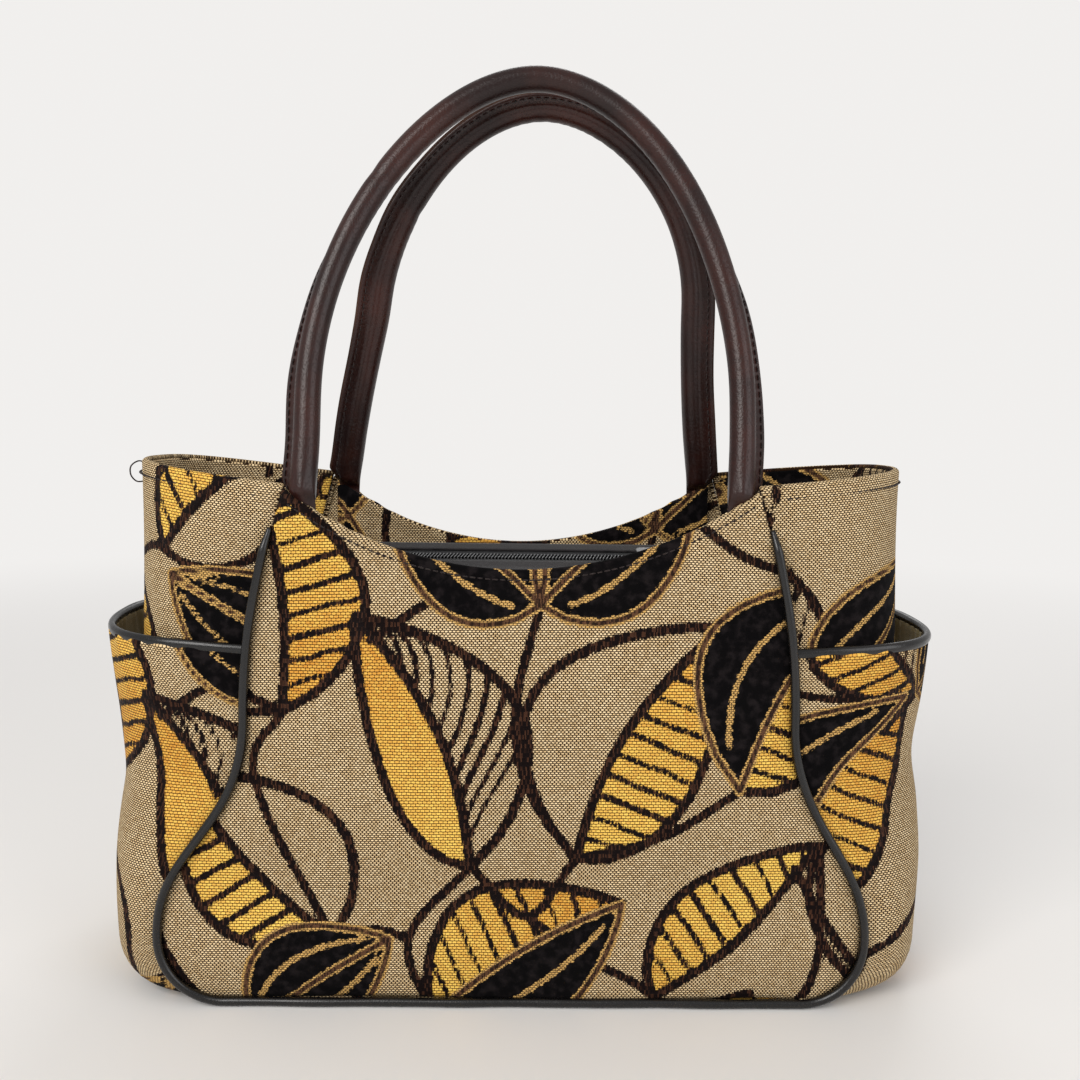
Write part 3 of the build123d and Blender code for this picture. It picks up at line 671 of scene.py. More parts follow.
@dataclass(frozen=True)
class Tapestry(Finish):
    """Woven cloth: staggered cream floats over a dark ground, gold ribs, dark outlines and black pile with patches of
    painted sheen.

    Args:
        float_across: Width of one cream float in millimetres.
        float_along: Height of one row in millimetres.
        gold_across: Width of one gold float in millimetres.
        gold_rib: Height of one gold row in millimetres.
        ragged: How far a woven edge steps in and out, in metres.
    """

    float_across: float = 1.62
    float_along: float = 0.92
    gold_across: float = 1.9
    gold_rib: float = 1.22
    ragged: float = 0.0009
    gap: Colour = colour(0.026, 0.011, 0.004)
    cream: Colour = colour(0.98, 0.77, 0.47)
    tan: Colour = colour(0.60, 0.41, 0.20)
    lemon: Colour = colour(0.92, 0.61, 0.125)
    orange: Colour = colour(0.64, 0.28, 0.040)
    gold_gap: Colour = colour(0.060, 0.018, 0.003)
    ink: Colour = colour(0.0060, 0.0030, 0.0030)
    ink_fleck: Colour = colour(0.060, 0.025, 0.014)
    pile: Colour = colour(0.0020, 0.0016, 0.0019)
    # Lighter pile colour laid in soft noise patches: painted sheen on the black velvet.
    pile_painted_sheen: Colour = colour(0.0110, 0.0085, 0.0090)
    bead: Colour = colour(0.66, 0.40, 0.13)
    bead_gap: Colour = colour(0.022, 0.011, 0.008)
    bead_middle: Colour = colour(0.105, 0.050, 0.026)

    def paint(self, net: Graph, effects: Effects, place: Socket) -> dict[str, Any]:
        """Lay ground, gold, ink, pile and beads over each other."""
        spot = cloth_place(net)
        ground = effects.weave.use(net, Place=spot, Across=self.float_across, Along=self.float_along,
                                   Stagger=0.5, Waver=0.35)
        gold = effects.weave.use(net, Place=spot, Across=self.gold_across, Along=self.gold_rib,
                                 Stagger=0.5, Waver=0.30)
        hatch = effects.weave.use(net, Place=spot, Across=0.55, Along=1.9, Stagger=0.37, Waver=0.9)
        wear = effects.wear.use(net, Place=place, Amount=0.6)

        def field(name: str) -> Socket:
            """Value of one of the design's fields."""
            return net.add("ShaderNodeAttribute", attribute_name=name).outputs["Fac"]

        def mask(name: str, random: Socket, edge: float) -> Socket:
            """Where a field is drawn, with steps of thread along its edge."""
            value = field(name)
            step = net.times(net.minus(random, 0.5), self.ragged)
            return net.band(net.plus(value, step), edge, -edge)

        in_gold = mask("gold", gold["Random"], 0.0002)
        in_ink = mask("ink", hatch["Random"], 0.0003)
        in_pile = mask("velvet", gold["Random"], 0.0003)
        in_bead = mask("bead", ground["Random"], 0.0003)
        warmth = field("warmth")

        patch = net.noise(spot, 0.045, 3.0)
        float_tone = net.plus(net.times(ground["Random"], 0.62), net.times(patch, 0.4))
        floats = net.blend(net.minus(1.0, float_tone, clamp=True), self.tan, self.cream)
        ground_colour = net.blend(net.band(ground["Height"], 0.44, 0.74), self.gap, floats)
        warm = net.plus(warmth, net.times(net.minus(gold["Random"], 0.5), 0.45))
        gold_thread = net.blend(net.plus(warm, 0.0, clamp=True), self.lemon, self.orange)
        rib = net.times(net.band(gold["Rib"], 0.16, 0.60), net.band(gold["Height"], 0.16, 0.52))
        gold_colour = net.blend(rib, self.gold_gap, gold_thread)
        ink_colour = net.blend(net.band(hatch["Random"], 0.55, 0.95), self.ink, self.ink_fleck)
        on_edge = net.band(field("bead"), -0.0013, -0.0006)
        beads = net.blend(net.band(ground["Height"], 0.25, 0.60), self.bead_gap, self.bead)
        middle = net.blend(net.band(hatch["Random"], 0.35, 0.75), self.bead_gap, self.bead_middle)
        bead_colour = net.blend(on_edge, middle, beads)
        # Soft noise patches lighten the black pile: painted sheen.
        pile_colour = net.blend(net.band(net.noise(spot, 0.22, 4.0), 0.42, 0.72), self.pile, self.pile_painted_sheen)

        layers = [
            (in_gold, gold_colour, net.times(gold["Height"], 0.13)),
            (in_ink, ink_colour, net.times(hatch["Height"], 0.18)),
            (in_pile, pile_colour, net.plus(net.times(gold["Random"], 0.03), 0.25)),
            (in_bead, bead_colour, net.times(gold["Height"], 0.28)),
        ]
        made, height = ground_colour, net.times(ground["Height"], 0.22)
        for share, tone, level in layers:
            made, height = net.blend(share, made, tone), net.number(share, height, level)
        rough = net.number(in_gold, self.roughness, 0.62)
        rough = net.number(in_pile, rough, 0.95)
        rough = net.minus(rough, net.times(wear["Rubbed"], 0.08))
        return {"colour": made, "roughness": rough, "height": height}


@dataclass(frozen=True)
class PlainCloth(Finish):
    """Plain woven cloth.

    Args:
        base: Colour of the thread's crown.
        gap: Colour between the threads.
        thread: Thread pitch in millimetres.
        relief: Height of the weave in millimetres.
    """

    base: Colour = colour(0.1, 0.1, 0.1)
    gap: Colour = colour(0.02, 0.02, 0.02)
    thread: float = 0.42
    stagger: float = 0.5
    relief: float = 0.06

    def paint(self, net: Graph, effects: Effects, place: Socket) -> dict[str, Any]:
        """Weave with soft patches of wear."""
        spot = cloth_place(net)
        weave = effects.weave.use(net, Place=spot, Across=self.thread, Along=self.thread, Stagger=self.stagger,
                                  Waver=0.3)
        wear = effects.wear.use(net, Place=place, Amount=0.7)
        tone = net.blend(net.band(weave["Height"], 0.2, 0.7), self.gap, self.base)
        paler = net.blend(net.times(wear["Rubbed"], 0.35), tone, self.base)
        rough = net.minus(self.roughness, net.times(wear["Rubbed"], 0.1))
        return {"colour": paler, "roughness": rough, "height": net.times(weave["Height"], self.relief)}


@dataclass(frozen=True)
class Leather(Finish):
    """Leather with pebbles, creases and rubbed patches.

    Args:
        base: Main colour.
        deep: Colour in the grain's valleys.
        rubbed: Colour where it is worn.
        pebble: Pebbles to the metre.
        relief: Height of the grain in millimetres.
    """

    base: Colour = colour(0.05, 0.02, 0.02)
    deep: Colour = colour(0.02, 0.01, 0.01)
    rubbed: Colour = colour(0.1, 0.05, 0.04)
    pebble: float = 900.0
    crease: float = 60.0
    relief: float = 0.10

    def paint(self, net: Graph, effects: Effects, place: Socket) -> dict[str, Any]:
        """Grain darkened in its valleys and paler where it is rubbed."""
        grain = effects.grain.use(net, Place=place, Pebble=self.pebble, Crease=self.crease)
        wear = effects.wear.use(net, Place=place, Amount=0.8)
        tone = net.blend(net.band(grain["Mottle"], 0.35, 0.70), self.deep, self.base)
        tone = net.blend(net.times(grain["Valley"], 0.55), tone, self.deep)
        tone = net.blend(net.times(wear["Rubbed"], 0.5), tone, self.rubbed)
        rough = net.plus(self.roughness, net.times(grain["Valley"], 0.14))
        rough = net.minus(rough, net.times(wear["Rubbed"], 0.10))
        return {"colour": tone, "roughness": rough, "height": net.times(grain["Height"], self.relief)}


@dataclass(frozen=True)
class Speckled(Finish):
    """Moulded, enamelled or pressed surface with fine scuffs.

    Args:
        base: Main colour.
        worn: Colour of scuffs and rubbed edges.
        speckle: Specks to the metre.
        relief: Height of the unevenness in millimetres.
    """

    base: Colour = colour(0.02, 0.02, 0.02)
    worn: Colour = colour(0.08, 0.07, 0.06)
    speckle: float = 500.0
    relief: float = 0.01

    def paint(self, net: Graph, effects: Effects, place: Socket) -> dict[str, Any]:
        """Fine specks, with scuffed patches."""
        wear = effects.wear.use(net, Place=place, Amount=0.8)
        speck = net.noise(place, self.speckle, 4.0, 0.65)
        share = net.plus(net.times(net.band(speck, 0.55, 0.75), 0.35), wear["Dust"], clamp=True)
        tone = net.blend(share, self.base, self.worn)
        rough = net.plus(self.roughness, net.times(net.minus(speck, 0.5), 0.25))
        return {"colour": tone, "roughness": rough, "height": net.times(speck, self.relief)}


FINISHES: tuple[Finish, ...] = (
    Tapestry("tapestry", roughness=0.86, specular=0.07, sheen=0.02),
    PlainCloth("black_cloth", 0.88, 0.2, 0.15, base=colour(0.022, 0.019, 0.020),
                              gap=colour(0.006, 0.005, 0.006)),
    PlainCloth("pocket_cloth", 0.85, 0.25, 0.1, base=colour(0.26, 0.215, 0.115),
                               gap=colour(0.10, 0.080, 0.035)),
    Leather("trim_leather", 0.26, 0.5, base=colour(0.0042, 0.0036, 0.0038),
                            deep=colour(0.0020, 0.0017, 0.0018), rubbed=colour(0.016, 0.013, 0.012),
                            pebble=1500.0, crease=70.0, relief=0.03),
    Leather("handle_leather", 0.33, 0.36, base=colour(0.030, 0.0075, 0.0052),
                              deep=colour(0.0100, 0.0024, 0.0018), rubbed=colour(0.064, 0.019, 0.013),
                              pebble=1150.0, crease=70.0, relief=0.11),
    PlainCloth("cord_filler", 0.9, 0.2, 0.1, base=colour(0.55, 0.50, 0.42),
                              gap=colour(0.25, 0.21, 0.16), thread=0.9, relief=0.15),
    Speckled("board", 0.9, 0.2, base=colour(0.35, 0.27, 0.18), worn=colour(0.22, 0.16, 0.10),
                      speckle=900.0, relief=0.03),
    PlainCloth("zip_tape", 0.8, 0.25, 0.1, base=colour(0.020, 0.020, 0.022),
                           gap=colour(0.005, 0.005, 0.006), thread=0.55, stagger=0.25, relief=0.08),
    Speckled("zip_coil", 0.28, 0.5, base=colour(0.012, 0.012, 0.014), worn=colour(0.035, 0.035, 0.04),
                         speckle=1500.0, relief=0.005),
    Speckled("zip_metal", 0.38, 0.5, base=colour(0.010, 0.009, 0.009),
                          worn=colour(0.09, 0.075, 0.06), speckle=380.0, relief=0.01),
    Leather("raw_edge", 0.8, 0.2, base=colour(0.050, 0.022, 0.014), deep=colour(0.020, 0.009, 0.006),
            rubbed=colour(0.11, 0.055, 0.034), pebble=2200.0, crease=300.0, relief=0.12),
    PlainCloth("dark_thread", 0.7, 0.3, 0.1, base=colour(0.030, 0.017, 0.015), gap=colour(0.008, 0.005, 0.005),
               thread=0.2, relief=0.05),
)


class Wardrobe:
    """Every material, and the dressing of pieces in them."""

    def __init__(self) -> None:
        """Build the materials."""
        effects = Effects.build()
        self.materials = {finish.slot: finish.material(effects) for finish in FINISHES}

    def dress(self, piece: Thing, slot: str, *nodes: str, body: str = BODY) -> None:
        """Give a new piece its material, body and slot, and hide what it stands for.

        Args:
            piece: The finished piece.
            slot: The record's material slot.
            *nodes: Nodes of the frame that it replaces.
            body: Body that it rides on.
        """
        if not piece.data.materials:
            piece.data.materials.append(self.materials[slot])
        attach(piece, body)
        if nodes:
            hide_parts(*nodes)
        stands_for = ", ".join(nodes) or "itself"
        log.info("%s: %d faces, on %s, for %s", piece.name, len(piece.data.polygons), body, stands_for)

    def paint_node(self, node: str, slot: str) -> None:
        """Give a node that stays its material."""
        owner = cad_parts[node]
        owner.data.materials.clear()
        owner.data.materials.append(self.materials[slot])
        log.info("%s keeps its shape, in %s", node, slot)


# Meshes


def linked(name: str, data: bpy.types.ID) -> Thing:
    """New object in the scene that shows data."""
    piece = bpy.data.objects.new(name, data)
    bpy.context.scene.collection.objects.link(piece)
    return piece


def mesh_object(name: str, points: Array, faces: Sequence[Sequence[int]]) -> Thing:
    """Object in the scene from points and faces, with its faces turned outwards.

    Args:
        name: The object's name.
        points: Rows of x, y and z.
        faces: Corners of each face.

    Returns:
        The object.
    """
    mesh = bpy.data.meshes.new(name)
    mesh.from_pydata(points.tolist(), [], [tuple(face) for face in faces])
    shell = bmesh.new()
    shell.from_mesh(mesh)
    bmesh.ops.recalc_face_normals(shell, faces=shell.faces)
    shell.to_mesh(mesh)
    shell.free()
    mesh.shade_smooth()
    return linked(name, mesh)


def set_cloth(piece: Thing, places: Array) -> None:
    """Store each point's place on the cloth as the piece's own map."""
    mesh = piece.data
    layer = mesh.uv_layers.new(name="cloth")
    corners = np.zeros(len(mesh.loops), np.int32)
    mesh.loops.foreach_get("vertex_index", corners)
    layer.data.foreach_set("uv", places[corners].astype(np.float32).ravel())


def set_fields(piece: Thing, fields: Fields) -> None:
    """Store each field as an attribute of the piece's points."""
    for name, values in fields.items():
        attribute = piece.data.attributes.new(name, "FLOAT", "POINT")
        attribute.data.foreach_set("value", values.astype(np.float32))


def unit(vectors: Array) -> Array:
    """Vectors of length 1."""
    return vectors / np.maximum(np.linalg.norm(vectors, axis=-1, keepdims=True), TINY)


def grid_normals(points: Array) -> Array:
    """Outward direction at each point of a grid whose columns run to the right and rows upwards."""
    return unit(np.cross(np.gradient(points, axis=1), np.gradient(points, axis=0)))


def cell_faces(index: Array) -> Array:
    """Four corners of each cell of a grid of point numbers."""
    cells = [index[:-1, :-1], index[:-1, 1:], index[1:, 1:], index[1:, :-1]]
    return np.stack([corner.ravel() for corner in cells], axis=1)


def strip_faces(first: Array, second: Array) -> Array:
    """Four corners of each cell between two closed rings of point numbers."""
    return np.stack([first, second, np.roll(second, -1), np.roll(first, -1)], axis=1)


def arc_lengths(points: Array, axis: int) -> Array:
    """Distance along each line of a grid from its start."""
    steps = np.linalg.norm(np.diff(points, axis=axis), axis=-1)
    start = np.zeros_like(np.take(steps, [0], axis=axis))
    return np.concatenate([start, np.cumsum(steps, axis=axis)], axis=axis)


def cloth_sheet(name: str, points: Array, cloth: Array, thickness: float, edge_steps: int,
                design: ClothDesign | None) -> Thing:
    """Cut piece of cloth, as a closed sheet with rounded edges.

    Args:
        name: Its name.
        points: Grid of points on its outer face, with columns to the right and rows upwards.
        cloth: Grid of places on the cloth.
        thickness: Its thickness.
        edge_steps: Steps round its edge.
        design: What is drawn on it, if anything.

    Returns:
        The sheet.
    """
    rows, columns = points.shape[:2]
    count = rows * columns
    index = np.arange(count).reshape(rows, columns)
    ring = np.concatenate([index[0, :-1], index[:-1, -1], index[-1, :0:-1], index[:0:-1, 0]])
    outward = grid_normals(points)
    outer, inner = points.reshape(-1, 3), (points - thickness * outward).reshape(-1, 3)
    facing = outward.reshape(-1, 3)[ring]
    middle = (outer[ring] + inner[ring]) / 2
    away = unit(np.cross(unit(np.roll(middle, -1, axis=0) - np.roll(middle, 1, axis=0)), facing))
    turns = [math.pi * step / edge_steps for step in range(1, edge_steps)]
    rings = [middle + thickness / 2 * (math.cos(turn) * facing + math.sin(turn) * away) for turn in turns]
    fresh = [2 * count + step * len(ring) + np.arange(len(ring)) for step in range(len(rings))]
    numbers = [ring] + fresh + [ring + count]
    cells = cell_faces(index)
    faces = [cells, cells[:, ::-1] + count] + [strip_faces(*pair) for pair in zip(numbers, numbers[1:])]
    piece = mesh_object(name, np.vstack([outer, inner] + rings), np.vstack(faces))
    places = cloth.reshape(-1, 2)
    drawn = design.fields(places) if design else {}

    def spread(values: Array) -> Array:
        """Values of the outer face carried to the inner face and the edge."""
        return np.concatenate([values, values] + [values[ring]] * len(rings))

    set_cloth(piece, spread(places))
    set_fields(piece, {label: spread(values) for label, values in drawn.items()})
    return piece


def curl_top(points: Array, radius: float, turn: float, steps: int) -> Array:
    """Grid with its top edge rolled over to the inside.

    Args:
        points: The grid, whose last row is where the roll starts.
        radius: Radius of the roll.
        turn: How far it turns, in degrees.
        steps: Number of rows that it adds.

    Returns:
        The longer grid.
    """
    outward = grid_normals(points)[-1]
    upward = unit(points[-1] - points[-2])
    angles = [math.radians(turn) * step / steps for step in range(1, steps + 1)]
    rows = [points[-1] - outward * radius * (1 - math.cos(angle)) + upward * radius * math.sin(angle)
            for angle in angles]
    return np.concatenate([points, np.stack(rows)], axis=0)


def ring_points(path: Array, wish: Sequence[float], across: Any, up: Any, sides: int) -> Array:
    """Round or oval ring at each point of a path.

    Args:
        path: The path.
        wish: Direction that the rings' up way keeps near to.
        across: Half of their width, as a number or one for each point.
        up: Half of their height, likewise.
        sides: Points on each ring.

    Returns:
        One ring for each point of the path.
    """
    tangent = unit(np.gradient(path, axis=0))
    side = unit(np.cross(tangent, wish))
    upward = np.cross(side, tangent)
    turn = np.linspace(0.0, 2 * math.pi, sides, endpoint=False)[:, None]
    across, up = (np.reshape(half, (-1, 1, 1)) for half in (across, up))
    return path[:, None] + across * np.cos(turn) * side[:, None] + up * np.sin(turn) * upward[:, None]


def tube_object(name: str, rings: Array, lengths: Array, bore: Array | None = None) -> Thing:
    """Closed tube through rings of points, hollow if it has a bore.

    Args:
        name: The object's name.
        rings: One ring of points for each station.
        lengths: Distance of each station along the tube.
        bore: Rings of the inner wall, as many and with as many points.

    Returns:
        The tube, with a map of length along and way around.
    """
    stations, sides = rings.shape[:2]
    total = stations * sides
    index = np.arange(total).reshape(stations, sides)
    wall = np.hstack([index, index[:, :1]])
    girth = arc_lengths(np.concatenate([rings, rings[:, :1]], axis=1), axis=1)[:, :-1]
    around = np.stack([np.repeat(lengths[:, None], sides, axis=1), girth], axis=-1).reshape(-1, 2)
    faces = cell_faces(wall).tolist()
    if bore is None:
        points, places = rings[[0, -1]].mean(1), around[[0, -1]]
        for side in range(sides):
            after = (side + 1) % sides
            faces += [(total, index[0, after], index[0, side]), (total + 1, index[-1, side], index[-1, after])]
    else:
        points, places = bore.reshape(-1, 3), around
        faces += cell_faces(wall + total)[:, ::-1].tolist()
        for station in (0, -1):
            faces += strip_faces(index[station], index[station] + total).tolist()
    piece = mesh_object(name, np.vstack([rings.reshape(-1, 3), points]), faces)
    set_cloth(piece, np.vstack([around, places]))
    return piece


def even_path(points: Array, spacing: float) -> Array:
    """Path of about evenly spaced points along a line."""
    places = arc_lengths(points, axis=0)
    count = max(int(round(places[-1] / spacing)), 4)
    wanted = np.linspace(0.0, places[-1], count + 1)
    return np.stack([np.interp(wanted, places, line) for line in points.T], axis=1)


def eased(path: Array, reach: int) -> Array:
    """Path whose corners are eased over a number of points, with its ends kept."""
    weights = np.hanning(reach + 2)[1:-1]
    padded = np.pad(path, ((reach // 2, reach // 2), (0, 0)), mode="reflect", reflect_type="odd")
    return np.stack([np.convolve(line, weights / weights.sum(), mode="valid") for line in padded.T], axis=1)


# Shape of the bag


def bezier(knots: Sequence[Point], count: int) -> Array:
    """Points along a cubic curve with four knots."""
    t = np.linspace(0.0, 1.0, count)[:, None]
    a, b, c, d = (np.array(knot, float) for knot in knots)
    return a * (1 - t) ** 3 + 3 * b * t * (1 - t) ** 2 + 3 * c * t**2 * (1 - t) + d * t**3


@dataclass(frozen=True)
class BagForm:
    """Shape of the bag's body, which its cloth and trims follow.

    Args:
        base_half: Half of the base's width.
        rim_height: Height of the rim's corners.
        half_depth: Half of the body's depth at its seams.
        gusset_reach: Half of the length over the gussets at the rim.
        pocket_reach: Half of the length over the pockets at their mouths.
        pocket_top: Height of a pocket's mouth at the middle.
    """

    base_half: float
    rim_height: float
    half_depth: float
    gusset_reach: float
    pocket_reach: float
    pocket_top: float
    corner_radius: float = 0.028
    waist_half: float = 0.114
    waist_height: float = 0.125
    rim_half: float = 0.098
    rim_dip: float = 0.0345
    rim_sag: float = 0.007
    belly: float = 0.004
    seam_lift: float = 0.0021
    base_seam_half: float = 0.125
    gusset_rise: float = 0.008
    gusset_pocket_reach: float = 0.166
    gusset_corner: float = 0.018
    pocket_rise: float = 0.004
    pocket_waist_reach: float = 0.1785
    pocket_waist_height: float = 0.098
    pocket_belly_reach: float = 0.181
    pocket_belly_height: float = 0.055
    pocket_corner: float = 0.022
    roundness: float = 2.6
    tapestry: float = 0.0018
    facing: float = 0.0014
    lining: float = 0.0005
    layer: float = 0.0021
    seam_gap: float = 0.0002
    gusset_recess: float = 0.0029
    gusset_lift: float = 0.0032
    facing_depth: float = 0.035

    @classmethod
    def from_frame(cls) -> "BagForm":
        """Take the main sizes from the frame's nodes."""
        nodes = ("front_panel", "base_panel", "right_gusset", "right_pocket")
        panel, base, gusset, pocket = (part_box(node)[1] for node in nodes)
        return cls(base_half=panel.x + cls.seam_gap, rim_height=panel.z, half_depth=base.y,
                   gusset_reach=gusset.x, pocket_reach=pocket.x, pocket_top=pocket.z)

    @property
    def corner_x(self) -> float:
        """Where the straight bottom seam turns up."""
        return self.base_half - self.corner_radius

    @property
    def corner_z(self) -> float:
        """Height of the middle of the bottom corner's curve."""
        return self.seam_lift + self.corner_radius

    @property
    def upright(self) -> float:
        """Height of the end walls above the bottom corner's curve."""
        return self.rim_height - self.corner_z

    @property
    def pocket_seam(self) -> float:
        """Height at which a pocket's mouth meets the side seams."""
        return self.pocket_top - self.pocket_rise

    def seam_line(self, drop: float = 0.0) -> Array:
        """Side seam from the rim down round the corner to the bottom, at an inset from it.

        Args:
            drop: The inset.

        Returns:
            Rows of x and z.
        """
        rise = self.rim_height - self.waist_height
        fall = self.waist_height - self.corner_z
        rim, waist, base = self.rim_half - drop, self.waist_half - drop, self.base_half - drop
        upper = bezier([(rim, self.rim_height), (mix(rim, waist, 0.62), self.waist_height + 0.62 * rise),
                        (waist, self.waist_height + 0.34 * rise), (waist, self.waist_height)], 60)
        lower = bezier([(waist, self.waist_height), (waist, self.waist_height - 0.50 * fall),
                        (base, self.corner_z + 0.42 * fall), (base, self.corner_z)], 60)
        turn = np.linspace(0.0, math.pi / 2, 24)
        radius = self.corner_radius - drop
        corner = np.stack([self.corner_x + radius * np.cos(turn), self.corner_z - radius * np.sin(turn)], axis=1)
        return np.vstack([upper, lower[1:], corner[1:]])

    def half_width(self, z: Array) -> Array:
        """Half of a panel's width at a height."""
        line = self.seam_line()[::-1]
        return np.interp(z, line[:, 1], line[:, 0])

    def rim(self, x: Array) -> Array:
        """Height of the dipped rim."""
        radius = (self.rim_half**2 + self.rim_dip**2) / (2 * self.rim_dip)
        centre = self.rim_height - self.rim_dip + radius
        return centre - np.sqrt(radius**2 - np.minimum(np.abs(x), self.rim_half) ** 2)

    def panel_reach(self, x: Array, z: Array) -> Array:
        """Distance from the middle plane to the outer face of a panel, before its folds."""
        wide = np.where(
            z >= self.waist_height,
            self.waist_half - (self.waist_half - self.rim_half)
            * np.clip((z - self.waist_height) / (self.rim_height - self.waist_height), 0.0, 1.2) ** 1.9,
            mix(self.base_half, self.waist_half,
                smooth((z - self.corner_z) / (self.waist_height - self.corner_z))))
        across = np.maximum(1.0 - (x / wide) ** 2, -0.6)
        mid_rim = self.rim_height - self.rim_dip
        belly = self.belly * across * np.sin(math.pi * np.clip(z / mid_rim, 0.0, 1.0)) ** 2
        sag = self.rim_sag * across * smooth((z - self.waist_height) / (mid_rim - self.waist_height))
        return self.half_depth + belly - sag

    def gusset_half_length(self, z: Array) -> Array:
        """Half of the bag's length at the middle of a gusset."""
        share = smooth((z - self.waist_height) / (self.pocket_seam - self.waist_height))
        return mix(self.gusset_pocket_reach, self.gusset_reach, share)

    def pocket_half_length(self, z: Array) -> Array:
        """Half of the bag's length at the middle of a pocket."""
        above = smooth((z - self.pocket_waist_height) / (self.pocket_seam - self.pocket_waist_height))
        below = smooth((self.pocket_waist_height - z) / (self.pocket_waist_height - self.pocket_belly_height))
        upper = mix(self.pocket_waist_reach, self.pocket_reach, above)
        lower = mix(self.pocket_waist_reach, self.pocket_belly_reach, below)
        return np.where(z >= self.pocket_waist_height, upper, lower)


class Layer(Enum):
    """Which end wall a grid belongs to."""

    GUSSET = "gusset"
    POCKET = "pocket"


@dataclass(frozen=True)
class EndWall:
    """Grid of one end wall, from the bottom seam up to its top edge, made as the right one.

    Args:
        form: The bag's shape.
        layer: Gusset or pocket.
        rows: Rows on the upright part.
        turn_rows: Rows round the bottom corner.
        columns: Columns from the front seam to the back one.
    """

    form: BagForm
    layer: Layer
    rows: int = 92
    turn_rows: int = 18
    columns: int = 105

    def stations(self, low: float = 0.0, high: float = 1.0) -> Array:
        """Seam point, middle point and outward direction at each row, from the top down.

        Args:
            low: Share of the upright height at which the rows end. At 0 they go on under the bag.
            high: Share of the upright height at which they start.

        Returns:
            Rows of seam x and z, middle x and z and outward x and z.
        """
        form = self.form
        gusset = self.layer is Layer.GUSSET
        top = form.rim_height if gusset else form.pocket_seam
        rise = form.gusset_rise if gusset else form.pocket_rise
        reach_at = form.gusset_half_length if gusset else form.pocket_half_length
        z = mix(form.corner_z, top, np.linspace(high, low, self.rows))
        lift = rise * smooth((z - form.waist_height) / (top - form.waist_height))
        rows = np.stack([form.half_width(z), z, reach_at(z), z + lift, np.ones_like(z), np.zeros_like(z)], axis=1)
        if low > 0.0:
            return rows
        return np.vstack([rows, self.under_stations()])

    def under_stations(self) -> Array:
        """Stations where the wall turns under the bag, in the same columns."""
        form = self.form
        gusset = self.layer is Layer.GUSSET
        radius = form.gusset_corner if gusset else form.pocket_corner
        lift = form.gusset_lift if gusset else 0.00015
        reach = float((form.gusset_half_length if gusset else form.pocket_half_length)(np.array(0.0)))
        share = np.linspace(0.0, 1.0, self.turn_rows + 1)[1:]
        turn = share * math.pi / 2
        slide = (form.corner_x - form.base_seam_half) * smooth(share)
        seam_x = form.corner_x + form.corner_radius * np.cos(turn) - slide
        seam_z = form.corner_z - form.corner_radius * np.sin(turn) + lift * smooth(share)
        upright = form.corner_z - lift - radius
        bend = radius * math.pi / 2
        place = share * (upright + bend + reach - radius - form.base_seam_half)
        angle = np.clip((place - upright) / radius, 0.0, math.pi / 2)
        run = np.maximum(place - upright - bend, 0.0)
        middle_x = reach - radius + radius * np.cos(angle) - run
        middle_z = np.where(place < upright, form.corner_z - place, lift + radius - radius * np.sin(angle))
        return np.stack([seam_x, seam_z, middle_x, middle_z, np.cos(angle), -np.sin(angle)], axis=1)

    def grid(self, inset: float, low: float = 0.0, high: float = 1.0) -> Array:
        """Grid of points at an inset under the wall's outer face.

        Args:
            inset: The inset.
            low: Share of the upright height at which the grid ends, or 0 for the whole wall.
            high: Share of the upright height at which it starts.

        Returns:
            Rows upwards, and columns from the front seam to the back one.
        """
        form = self.form
        half_depth = form.half_depth - (form.gusset_recess if self.layer is Layer.GUSSET else 0.0)
        station = self.stations(low, high)[::-1][:, None, :]
        angle = np.linspace(0.0, math.pi, self.columns)[None, :]
        power = 2.0 / form.roundness
        bulge = np.abs(np.sin(angle)) ** power
        side = -np.sign(np.cos(angle)) * np.abs(np.cos(angle)) ** power
        x = mix(station[..., 0] + form.seam_gap, station[..., 2], bulge) - inset * np.sin(angle) * station[..., 4]
        z = mix(station[..., 1], station[..., 3], bulge) - inset * np.sin(angle) * station[..., 5]
        y = half_depth * side + inset * np.cos(angle) + 0.0 * x
        return np.stack([x, y, z], axis=-1)


@dataclass(frozen=True)
class Softness:
    """Slack and unevenness of the filled bag, shared by every cloth piece and trim so that they stay together.

    Args:
        sway: Size of the broad undulation.
        narrow_right: How much narrower the right foot of the panels is.
        full_right: How much the right pocket swells.
    """

    sway: float = 0.0011
    narrow_right: float = 0.0035
    full_right: float = 0.0025

    def apply(self, points: Array) -> Array:
        """Moved copy of points in any grid."""
        x, y, z = points[..., 0], points[..., 1], points[..., 2]
        foot = smooth(z / 0.012)
        low = smooth((0.105 - z) / 0.06)
        inner = smooth((x - 0.09) / 0.05) * (1 - smooth((x - 0.150) / 0.02))
        swell = smooth((x - 0.165) / 0.012) * hump(z, 0.062, 0.030)
        moved_x = x - self.narrow_right * inner * low + self.full_right * swell
        moved_x = moved_x + self.sway * 0.8 * np.sin(y / 0.019 + 0.8) * np.sin(z / 0.031 + 0.4) * foot \
            * smooth((np.abs(x) - 0.10) / 0.05)
        moved_y = y + self.sway * np.sin(x / 0.034 + 1.3) * np.sin(z / 0.041 + 0.9) * foot \
            * smooth(np.abs(y) / 0.03)
        moved_z = z + 0.0009 * np.sin(x / 0.045 + 0.6) * smooth((z - 0.12) / 0.08)
        return np.stack([moved_x, moved_y, moved_z], axis=-1)


